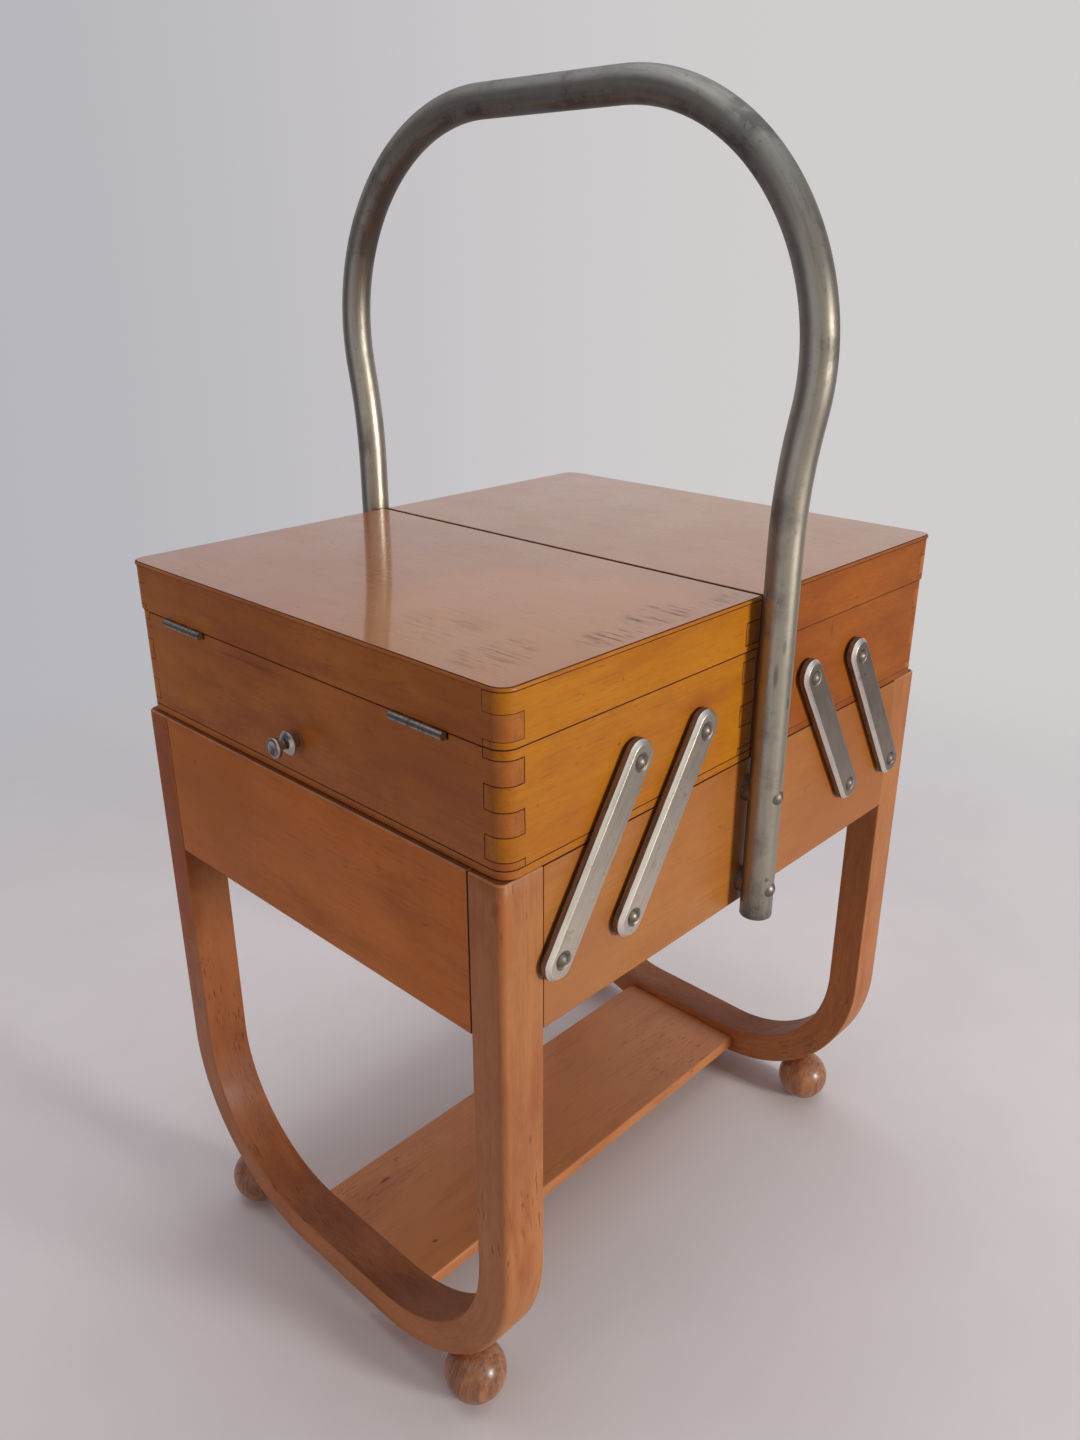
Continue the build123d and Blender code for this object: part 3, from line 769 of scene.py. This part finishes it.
@dataclass
class Workshop:
    """Makes the pieces and gives them their finishes."""

    rng: np.random.Generator = field(default_factory=lambda: np.random.default_rng(57))

    def shift(self) -> np.ndarray:
        """Return a random start for a piece's grain, so that no two boards look alike."""
        return self.rng.uniform(-3.0, 3.0, 3)

    def piece(self, mesh: Mesh, body: str, slot: str, finishes: Sequence[Lacquer | Plating],
              *stands_for: str) -> bpy.types.Object:
        """Put a mesh in the scene as a piece of the box.

        Args:
            mesh: the piece's shape, in the part's own frame.
            body: the CAD body that it rides on.
            slot: the record's material slot of its finish; not used.
            finishes: its finishes, in the order of their numbers.
            stands_for: the CAD nodes that it replaces.

        Returns:
            The new object.
        """
        thing = put(mesh.name, mesh)
        for finish in finishes:
            mesh.materials.append(finish.material)
        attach(thing, body)
        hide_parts(*stands_for)
        log.info("piece %s: %d faces, rides on %s", thing.name, len(mesh.polygons), body)
        return thing

    def board(self, node: str, body: str, slot: str, grain: Grain, finish: Lacquer,
              edges: Edges = Edges(), tone: float = 0.0) -> bpy.types.Object:
        """Dress a wooden CAD node: the same shape with fine broken edges and its grain set.

        Args:
            node: the CAD node.
            body: the body that it rides on.
            slot: the record's material slot; not used.
            grain: the direction of its grain.
            finish: its lacquer.
            edges: the looks of its edges.
            tone: how much lighter this board is than the finish.

        Returns:
            The piece that stands for the node.
        """
        mesh = frame["nodes"][node].data.copy()
        mesh.name = f"{node}_dressed"
        mesh.materials.clear()
        edges.prepare(mesh)
        mesh.shade_smooth()
        places = read(mesh.vertices, "co")
        if edges.joint:
            drawn, real = edges.joint
            places[np.abs(places[:, 2] - drawn) < SAME, 2] = real
            mesh.vertices.foreach_set("co", places.ravel())
            mesh.update()
        set_attribute(mesh, "grain", places[:, list(grain.value)] + self.shift())
        set_attribute(mesh, "tone", np.full(len(places), tone))
        facing = read(mesh.polygons, "normal")
        index = np.empty(len(facing), dtype=np.int32)
        mesh.polygons.foreach_get("material_index", index)
        ends = np.abs(facing[:, grain.value[0]]) > END_ON
        index[(index == Part.FACE) & ends] = Part.END_GRAIN
        if edges.dust_and_shade is not None:
            height = read(mesh.polygons, "center")[:, 2]
            index[(facing[:, 2] > UPWARDS) & (np.abs(height - edges.dust_and_shade) < SAME)] = Part.LEDGE
        set_finishes(mesh, index)
        finishes = [finish, Finishes.seam_and_shade, Finishes.end_grain, Finishes.worn_and_lit, Finishes.ledge]
        thing = self.piece(mesh, body, slot, finishes, node)
        break_edges(thing, edges.line, finish=Part.SEAM, weighted=True)
        return thing

    def metal(self, finish: Plating, *nodes: str) -> None:
        """Give metal CAD nodes, whose shape is right, their own finish."""
        for node in nodes:
            mesh = frame["nodes"][node].data
            mesh.materials.clear()
            mesh.materials.append(finish.material)
            log.info("node %s keeps its shape", node)


@dataclass
class BentFrames:
    """The two U frames, each one strip of bent wood on a pair of ball feet."""

    workshop: Workshop
    thickness: float = 0.019
    bend_radius: float = 0.098
    outer_round: float = 0.0035
    inner_round: float = 0.0008
    arris: float = 0.0007
    arris_round: float = 0.0002
    low_shade_height: float = 1.8
    ball: float = 0.016
    ball_play: float = 0.0003
    pole: float = 0.02
    ball_rows: int = 41
    ball_columns: int = 64

    def strip(self, side: str) -> None:
        """Make one frame: a rounded strip carried down, round both bends and up again.

        Its inner face is painted darker, as soil and painted shade, and most of all near the
        floor, where the painted shade grows. Its ends take the ledge finish of dust and painted
        shade, with pale arrises that are partly rubbing and partly painted highlight.
        """
        low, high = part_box(f"{side}_leg_frame")
        radius = self.bend_radius - self.thickness / 2
        straight = high.z - low.z - self.bend_radius - self.arris
        route = Route((high.y - self.thickness / 2, high.z), -QUARTER)
        route.run(self.arris).run(straight, 24).bend(radius, -QUARTER)
        route.run(2 * (high.y - self.bend_radius), 6)
        route.bend(radius, -QUARTER).run(straight, 24).run(self.arris)
        radii = [self.inner_round] * 4
        radii[1 if side == "left" else 0] = self.outer_round
        width, arris = high.x - low.x, 2 * self.arris
        profile = rounded_rectangle(width, self.thickness, radii)
        top = rounded_rectangle(width - arris, self.thickness - arris,
                                [corner - self.arris_round for corner in radii])
        grid = route.carry(profile)
        grid[[0, -1]] = route.carry(top)[[0, -1]]
        grid[:, :, 0] += (high.x + low.x) / 2
        mesh = skin(f"{side}_bent_frame", [(grid, True)], caps=True)
        travelled = route.travelled()
        grain = unrolled(travelled, profile)
        set_attribute(mesh, "grain", grain + self.workshop.shift())
        # The inner face is painted darker, as soil and painted shade, with more painted shade near
        # the floor
        inside = ramp(grain[:, 2], -0.475 * self.thickness, -0.025 * self.thickness)
        low_shade = ramp(grid[:, :, 2].ravel(), self.low_shade_height * self.bend_radius,
                     -self.bend_radius)
        set_attribute(mesh, "wear_and_shade", inside * (1.0 + low_shade))
        turn_out(mesh)
        dust_and_shade, worn_and_lit = 1, 2
        self.workshop.piece(mesh, "case", "frame_wood",
                            [Finishes.frame, Finishes.ledge, Finishes.worn_and_lit], f"{side}_leg_frame")
        index = np.zeros(len(mesh.polygons))
        index[:len(profile)] = index[-2 - len(profile):-2] = worn_and_lit
        index[-2:] = dust_and_shade
        set_finishes(mesh, index)
        for cap in list(mesh.polygons)[-2:]:
            cap.use_smooth = False
        log.info("the %s strip is %.3f m long", side, travelled[-1])

    def foot(self, node: str) -> None:
        """Make one turned ball, whose grain stands upright.

        The ball is c + r (sin a cos b, sin a sin b, cos a), cut off at the floor.
        """
        low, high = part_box(node)
        outermost = high.y if high.y > -low.y else low.y
        centre = np.array([(low.x + high.x) / 2, outermost - math.copysign(self.ball, outermost),
                           self.ball - self.ball_play])
        a = np.linspace(self.pole, math.pi - self.pole, self.ball_rows)[:, None]
        b = np.linspace(0.0, 2 * math.pi, self.ball_columns, endpoint=False)[None, :]
        shape = [np.sin(a) * np.cos(b), np.sin(a) * np.sin(b), np.cos(a) + 0 * b]
        grid = centre + self.ball * np.stack(shape, axis=-1)
        grid[:, :, 2] = np.maximum(grid[:, :, 2], 0.0)
        mesh = skin(f"{node}_ball", [(grid, True)], caps=True)
        turn_out(mesh)
        upright = read(mesh.vertices, "co")[:, [2, 0, 1]] * [1, 3, 3]
        set_attribute(mesh, "grain", upright + self.workshop.shift())
        self.workshop.piece(mesh, "case", "foot_wood", [Finishes.ball], node)

    def build(self) -> None:
        """Make both strips and all four feet."""
        for side in SIDES:
            self.strip(side)
            for end in ENDS:
                self.foot(f"{end}_{side}_foot")


@dataclass
class Case:
    """The open case between the frames, and the shelf near the floor."""

    workshop: Workshop

    def build(self) -> None:
        """Dress the panels, the bottom and the shelf."""
        board = self.workshop.board
        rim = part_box("left_end_panel")[1].z
        for side in SIDES:
            board(f"{side}_end_panel", "case", "case_wood", Grain.ALONG_Y, Finishes.case_end,
                  Edges(worn_and_lit=rim, dust_and_shade=rim, fine=0.7))
        for end in ENDS:
            # The side panels are toned a little darker: painted shade
            board(f"{end}_side_panel", "case", "case_wood", Grain.ALONG_X, Finishes.case,
                  Edges(dark={rim: 0.6}, dust_and_shade=rim), tone=-0.05)
        board("case_bottom", "case", "plywood", Grain.FLAT_X, Finishes.ply)
        board("shelf", "case", "shelf_wood", Grain.FLAT_X, Finishes.shelf)


@dataclass
class Boxes:
    """The two trays and their lids: comb-jointed boards, bottoms, top panels and fittings.

    The line under a lid's panel lies panel_edge below its top. The other numbers are cosines that
    sort the faces of the panel.
    """

    workshop: Workshop
    panel_edge: float = 0.0019
    level: float = 0.985
    steep: float = 0.75
    outwards: float = 0.7
    inwards: float = -0.1

    @staticmethod
    def redder(side: str, left: Lacquer) -> Lacquer:
        """Return the redder lacquer for the right boxes, and the given one for the left."""
        return Finishes.red_board if side == "right" else left

    def walls(self, side: str, kind: str) -> None:
        """Dress the four boards of a side's tray or lid, which is the kind."""
        body = f"{side}_{kind}"
        low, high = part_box(f"{body}_front_board")
        joint = (high.z, self.joint_height(side)) if kind == "lid" else None
        meeting = low.z if kind == "lid" else high.z
        for name, grain in (("end_board", Grain.ALONG_Y), ("inner_board", Grain.ALONG_Y),
                            ("front_board", Grain.ALONG_X), ("back_board", Grain.ALONG_X)):
            dark, tone, finish = {high.z: 0.55, low.z: 0.5}, 0.0, Finishes.board
            if name == "end_board":
                # End boards: darker tone and redder lacquer as painted shade, and a wide dark line
                # where lid and tray meet, painted shadow of the lid's overhang
                dark[meeting], tone, finish = 1.0, -0.2, Finishes.end_board
            self.workshop.board(f"{body}_{name}", body, "tray_wood", grain,
                                self.redder(side, finish), Edges(dark, joint=joint), tone)

    def panel(self, side: str) -> None:
        """Dress a lid's top panel: a dark line round its rim, and a dark edge where the lids meet.

        The line under the rim is its joint, darkened as painted shadow; the rim's rounding and the
        edge in the gap between the lids are painted shade. Its rim has the boards' finishes in
        place of the end grain and the pale arris.
        """
        node = f"{side}_lid_panel"
        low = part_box(node)[0].z
        panel = self.workshop.board(node, f"{side}_lid", "top_wood", Grain.FLAT_Y, Finishes.top,
                                    Edges({low: 0.5}, joint=(low, self.joint_height(side))))
        side_rim, end_rim = Part.END_GRAIN, Part.WORN_AND_LIT
        panel.data.materials[side_rim] = self.redder(side, Finishes.board).material
        panel.data.materials[end_rim] = self.redder(side, Finishes.end_board).material
        # The rim's rounding and the inner edge where the lids meet take the dark finish: painted
        # shade
        facing = read(panel.data.polygons, "normal")
        out, up = facing[:, 0] * SIDES[side], facing[:, 2]
        rim = np.where(out > self.outwards, end_rim, side_rim)
        rim = np.where(np.abs(up) > self.steep, Part.SEAM, rim)
        index = np.where((up < self.level) & (up >= -UPWARDS), rim, Part.FACE)
        inner = (out < self.inwards) & (up > -UPWARDS)
        index[inner] = np.where(up[inner] < UPWARDS, Part.SEAM, Part.FACE)
        set_finishes(panel.data, index)

    def joint_height(self, side: str) -> float:
        """Return the height of the line between the lid's boards and its panel."""
        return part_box(f"{side}_lid_panel")[1].z - self.panel_edge

    def metalwork(self, side: str) -> None:
        """Give the hinges, the knob, the screws and the spacers their finishes."""
        metal, tray = self.workshop.metal, f"{side}_tray"
        metal(Finishes.hinge, f"{tray}_hinge_leaves", f"{side}_lid_hinge_leaves",
              f"{side}_hinge_pins")
        metal(Finishes.knob, f"{tray}_knob")
        metal(Finishes.screw, f"{tray}_pivot_screws", f"{tray}_pivot_spacers")

    def build(self) -> None:
        """Dress both sides."""
        for side in SIDES:
            self.walls(side, "tray")
            self.walls(side, "lid")
            bottom = self.workshop.board(
                f"{side}_tray_bottom", f"{side}_tray", "plywood", Grain.FLAT_Y,
                self.redder(side, Finishes.end_board), tone=-0.1)
            ends = self.redder(side, Finishes.board)
            bottom.data.materials[Part.END_GRAIN] = ends.material
            self.panel(side)
            self.metalwork(side)


@dataclass
class PressedLinks:
    """The eight links: shallow steel channels with round ends, bevelled edges and dimpled holes.

    In the plane of a link, u runs along it, v across it and w outwards from the wood. Its face
    has normals with a cosine over outwards.
    """

    workshop: Workshop
    width: float = 0.016
    past_pivot: float = 0.002
    depth: float = 0.0046
    sheet: float = 0.0014
    bevel: float = 0.0017
    edge: float = 0.0002
    hole: float = 0.00205
    dimple: float = 0.0043
    dimple_slope: float = 0.0004
    dimple_depth: float = 0.0005
    collar: float = 0.0047
    arc_parts: int = 20
    run_parts: int = 10
    outwards: float = 0.95
    sharp: float = math.radians(30.0)

    def loop(self, half: float, radius: float, w: float) -> np.ndarray:
        """Return a loop of two half circles about (+-half, 0), joined by runs, at the height w."""
        tip = radius * arms(np.linspace(-QUARTER, QUARTER, self.arc_parts + 1)) + (half, 0.0)
        run = np.linspace(half, -half, self.run_parts + 1)[1:-1]
        edge = np.column_stack([run, np.full_like(run, radius)])
        return raised(np.concatenate([tip, edge, -tip, -edge]), w)

    def eye(self, u: float, rings: Sequence[tuple[float, float]]) -> np.ndarray:
        """Return circles about (u, 0), one for each pair of radius and height."""
        circle = arms(np.linspace(-QUARTER, 3 * QUARTER, 2 * self.arc_parts, endpoint=False))
        return np.array([raised(r * circle + (u, 0.0), w) for r, w in rings])

    def web(self, half: float, w: float) -> np.ndarray:
        """Return the flat grid between the two eyes, whose ends are hollow half circles.

        Row b runs from (half - c cos b, c sin b) to (c cos b - half, c sin b) in equal parts.
        """
        b = np.linspace(QUARTER, -QUARTER, self.arc_parts + 1)[:, None]
        share = np.linspace(1.0, -1.0, self.run_parts + 1)[None, :]
        u = share * (half - self.collar * np.cos(b))
        return np.stack([u, self.collar * np.sin(b) + 0 * share, np.full_like(u, w)], axis=-1)

    def shape(self, half: float) -> list[tuple[np.ndarray, bool]]:
        """Return the grids (u, v, w) of one link, each with whether its rows are rings.

        The loops go over the face, down the bevel and the edge, and back inside the channel. They
        and the rings of the eyes are given for half the distance between the pivots.
        """
        under = self.depth - self.sheet
        inner = self.bevel - self.sheet * (2 - math.sqrt(2))
        tip, radius, shoulder = half + self.past_pivot, self.width / 2, self.depth - self.bevel
        inside = radius - self.sheet
        loops = [(half, self.collar, self.depth), (tip, radius - self.bevel, self.depth),
                 (tip, radius, shoulder), (tip, radius, shoulder - self.edge),
                 (tip, radius, 0.0), (tip, inside, 0.0), (tip, inside, under - inner),
                 (tip, inside - inner, under), (half, self.collar, under)]
        sunk = self.depth - self.dimple_depth
        rings = [(self.collar, self.depth), (self.dimple, self.depth),
                 (self.dimple - self.dimple_slope, sunk), (self.hole, sunk),
                 (self.hole, under), (self.collar, under)]
        grids = [(np.array([self.loop(*values) for values in loops]), True)]
        grids += [(self.eye(place, rings), True) for place in (half, -half)]
        return grids + [(self.web(half, w), False) for w in (self.depth, under)]

    def link(self, side: str, kind: str, end: str) -> None:
        """Make one link where its CAD node is.

        Its face is painted darker towards the upper pivot as painted shade, the dimples at the
        holes hold soil, and the side walls are painted dark as painted shade.

        Args:
            side: left or right.
            kind: inner or outer.
            end: front or back.
        """
        node = f"{side}_{kind}_link_{end}"
        low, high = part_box(node)
        across, up = high.x - low.x - self.width, high.z - low.z - self.width
        lean = Vector((-SIDES[side] * across / 2, 0, up / 2))
        half = lean.length - self.past_pivot
        along, out = np.array(lean.normalized()), np.array([0.0, ENDS[end], 0.0])
        foot = np.array([(low.x + high.x) / 2, high.y if end == "front" else low.y,
                         (low.z + high.z) / 2])
        axes = np.stack([along, np.cross(out, along), out])
        grids = self.shape(half)
        mesh = skin(f"{node}_pressed", [(foot + grid @ axes, closed) for grid, closed in grids])
        flat = np.concatenate([grid.reshape(-1, 3) for grid, _ in grids])
        set_attribute(mesh, "grain", flat + self.workshop.shift())
        u, v, w = flat.T
        # Soil in the dimples, and painted shade on the side walls below the bevel
        dirt_and_shade = np.hypot(np.abs(u) - half, v) < self.dimple + SAME
        dirt_and_shade |= w < self.depth - self.bevel - SAME
        # The face darkens towards the upper pivot: painted shade of a darker reflection
        upper_shade = 0.5 * ramp(u, -half * 5 / 7, half * 10 / 7) * (w > self.depth - SAME)
        set_attribute(mesh, "wear_and_shade", np.where(dirt_and_shade, 1.0, upper_shade))
        turn_out(mesh, merge=DOUBLE)
        face = Finishes.link if side == "left" else Finishes.shaded_link
        thing = self.workshop.piece(mesh, f"{side}_{kind}_links", "link_steel",
                                    [Finishes.link_edge_light_and_shade, face], node)
        set_finishes(mesh, read(mesh.polygons, "normal") @ out > self.outwards)
        break_edges(thing, BROKEN, angle=self.sharp)

    def build(self) -> None:
        """Make all eight links."""
        for side in SIDES:
            for kind in ("inner", "outer"):
                for end in ENDS:
                    self.link(side, kind, end)


@dataclass
class Handle:
    """The bent tube with its spacers and screws.

    Its painted shade under the arch and along the outer side over it begins at a height and grows
    over another.
    """

    workshop: Workshop
    radius: float = 0.008
    wall: float = 0.0015
    gap: float = 0.002
    straight_above_lid: float = 0.0225
    flare_radius: float = 0.285
    flare: float = math.radians(11.7)
    arch_radius: float = 0.108
    sharp: float = math.radians(50.0)
    shade_under_arch: tuple[float, float] = (0.47, 0.08)
    shade_over_arch: tuple[float, float] = (0.44, 0.10)
    cut_end: float = 0.012

    def tube(self) -> None:
        """Make the tube: a circle carried up, out, over the arch and down again, and its bore.

        It is painted darker under the arch and along the outer side over it, as painted shade with
        some patina, and darker at its cut ends.
        """
        low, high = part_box("handle_tube")
        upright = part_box("left_lid_panel")[1].z + self.straight_above_lid - low.z
        start = (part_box("back_side_panel")[1].y + self.gap + self.radius, low.z)
        quarter = QUARTER + self.flare
        route = Route(start, QUARTER, step=math.radians(2.0))
        route.run(upright, 6).bend(self.flare_radius, -self.flare).bend(self.arch_radius, quarter)
        route.run(2 * route.points[-1][-1][0], 3).bend(self.arch_radius, quarter)
        route.bend(self.flare_radius, -self.flare).run(upright, 6)
        circle = ring(self.radius)
        outside, bore = route.carry(circle), route.carry(ring(self.radius - self.wall))
        loop = np.concatenate([outside, bore[::-1], outside[:1]])
        mesh = skin("handle_bent_tube", [(loop, True)])
        travelled = route.travelled()
        grain = unrolled(np.concatenate([travelled, travelled[::-1], travelled[:1]]), circle)
        set_attribute(mesh, "grain", grain)
        inwards, height, r = grain[:, 2], loop[:, :, 2].ravel(), self.radius
        # Under the arch and along its outer side the tube is painted darker: painted shade, with
        # some patina
        under = ramp(inwards, 0.0, r) * ramp(height, *self.shade_under_arch)
        over = ramp(inwards, -r * 5 / 18, -r * 5 / 9) * ramp(height, *self.shade_over_arch)
        ends = ramp(height, low.z + self.cut_end, -self.cut_end)
        set_attribute(mesh, "wear_and_shade", 1.3 * under + 0.8 * over + 0.5 * ends)
        turn_out(mesh, merge=DOUBLE / 10)
        mesh.set_sharp_from_angle(angle=self.sharp)
        thing = self.workshop.piece(mesh, "case", "handle_steel", [Finishes.tube],
                                    "handle_tube")
        break_edges(thing, BROKEN, angle=self.sharp)
        log.info("handle top at %.3f m", high.z)

    def build(self) -> None:
        """Make the tube and dress its fixings."""
        self.tube()
        self.workshop.metal(Finishes.screw, "handle_spacers", "handle_screws",
                            "case_pivot_screws", "case_pivot_spacers")


@dataclass(frozen=True)
class Lamp:
    """A soft square lamp that faces the middle of the box."""

    name: str
    place: Place
    size: float
    watts: float
    colour: Colour
    mirrored: bool = True
    aim: Place = (0.0, 0.0, 0.28)

    def hang(self) -> None:
        """Hang the lamp, which shows in gloss and metal only if it is mirrored."""
        data = bpy.data.lights.new(self.name, "AREA")
        data.size, data.energy, data.color = self.size, self.watts, self.colour
        lamp = put(self.name, data)
        lamp.location = self.place
        lamp.visible_glossy = self.mirrored
        heading = Vector(self.aim) - Vector(self.place)
        lamp.rotation_euler = heading.to_track_quat("-Z", "Y").to_euler()


@dataclass
class Studio:
    """Pale floor, soft light from the front and above, and the camera."""

    eye: Place = (-0.4302, -0.4056, 0.5468)
    yaw: float = math.radians(46.28)
    pitch: float = math.radians(-22.63)
    roll: float = math.radians(-0.06)
    lens: float = 28.57
    reach: float = 3.0
    cool: Colour = (0.47, 0.465, 0.50)
    warm: Colour = (0.63, 0.61, 0.61)
    gloom: Colour = (0.10, 0.118, 0.155)
    front: Colour = (0.72, 0.69, 0.65)
    sky: Colour = (0.80, 0.92, 1.10)
    sheeting: Colour = (0.78, 0.83, 0.94)
    dim: Colour = (0.13, 0.095, 0.08)
    bright: Colour = (0.52, 0.50, 0.52)
    lamps: tuple[Lamp, ...] = (
        Lamp("window", (0.46, -2.2, 0.56), 0.45, 34.5, (1.0, 0.955, 0.90)),
        Lamp("side", (-2.2, 0.30, 0.6), 1.0, 6.3, (1.0, 0.83, 0.93), mirrored=False),
        Lamp("ceiling", (0.2, 0.1, 2.3), 1.8, 11.5, (1.0, 0.98, 0.97)))

    def camera(self) -> None:
        """Place the camera at the photograph's viewpoint.

        Its turn is yaw about Z after the tilt about X and the roll about its own axis.
        """
        data = bpy.data.cameras.new("camera")
        data.lens, data.sensor_width = self.lens, 36.0
        data.clip_start, data.clip_end = 0.01, 50.0
        eye = put("camera", data)
        forward = Vector((math.sin(self.yaw) * math.cos(self.pitch),
                          math.cos(self.yaw) * math.cos(self.pitch), math.sin(self.pitch)))
        eye.matrix_world = forward.to_track_quat("-Z", "Y").to_matrix().to_4x4()
        eye.rotation_euler.rotate_axis("Z", self.roll)
        eye.location = self.eye
        bpy.context.scene.camera = eye

    def world(self) -> None:
        """Light the room softly from the pale wall behind the box.

        The gloss sees that wall, a bright window side, pale floor sheeting low on the left, a
        pale ceiling and gloom elsewhere.
        """
        world = bpy.data.worlds.new("room")
        bpy.context.scene.world = world
        sheet = Sheet(world)
        heading = sheet.add("TexCoord").outputs["Generated"]
        path = sheet.add("LightPath").outputs
        sideways = sheet.ease(sheet.along(heading, (0.72, -0.69, 0.0)), -0.42, 0.25)
        wall = sheet.blend(sideways, self.cool, self.warm)
        behind = sheet.along(heading, (0.70, 0.66, 0.27))
        ambient = sheet.blend(sheet.ease(behind, -0.35, 0.55), self.dim, self.bright)
        mirrored = sheet.blend(sheet.ease(behind, 0.1, 0.7), self.gloom, wall)
        for colour, direction, low, high in ((self.front, (-0.35, -0.90, 0.25), 0.35, 0.85),
                                             (self.sheeting, (-0.98, -0.08, -0.16), 0.82, 0.98),
                                             (self.sky, (0.0, 0.0, 1.0), 0.50, 0.78)):
            share = sheet.ease(sheet.along(heading, direction), low, high)
            mirrored = sheet.blend(share, mirrored, colour)
        shiny = sheet.math("MAXIMUM", path["Is Glossy Ray"], path["Is Transmission Ray"])
        colour = sheet.blend(shiny, ambient, mirrored)
        colour = sheet.blend(path["Is Camera Ray"], colour, wall)
        back = sheet.add("Background", {"Color": colour, "Strength": 1.0})
        sheet.add("OutputWorld", {"Surface": back.outputs[0]})

    def floor(self) -> None:
        """Lay a pale floor that keeps the shadow near the box and fades into the backdrop.

        The fade is a smooth step of the distance from the box.
        """
        corners = np.array([[[-1, -1, 0], [1, -1, 0]], [[-1, 1, 0], [1, 1, 0]]])
        mesh = skin("floor", [(corners * self.reach, False)])
        sheet = Sheet(bpy.data.materials.new("floor paper"))
        place = sheet.place()
        far = sheet.ease(sheet.length(place), 0.45, 1.1)
        smudge = sheet.ease(sheet.noise(place, 5.0, 4.0, 0.6), 0.3, 0.7)
        colour = sheet.blend(smudge, (0.80, 0.79, 0.815), (0.84, 0.83, 0.855))
        paper = sheet.add("BsdfDiffuse", {"Color": colour})
        gone = sheet.add("BsdfTransparent")
        mixed = sheet.add("MixShader", {0: far, 1: paper.outputs[0], 2: gone.outputs[0]})
        sheet.add("OutputMaterial", {"Surface": mixed.outputs[0]})
        mesh.materials.append(sheet.owner)
        floor = put("floor", mesh)

    def build(self) -> None:
        """Set the stage."""
        bpy.context.scene.view_settings.view_transform = "Standard"
        self.camera()
        self.world()
        self.floor()
        for lamp in self.lamps:
            lamp.hang()


def main() -> None:
    """Build the pieces in order, then the studio."""
    logging.basicConfig(level=logging.INFO, format="%(name)s: %(message)s")
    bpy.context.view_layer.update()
    workshop = Workshop()
    for part in (BentFrames, Case, Boxes, PressedLinks, Handle):
        part(workshop).build()
    Studio().build()


if __name__ == "__main__":
    main()
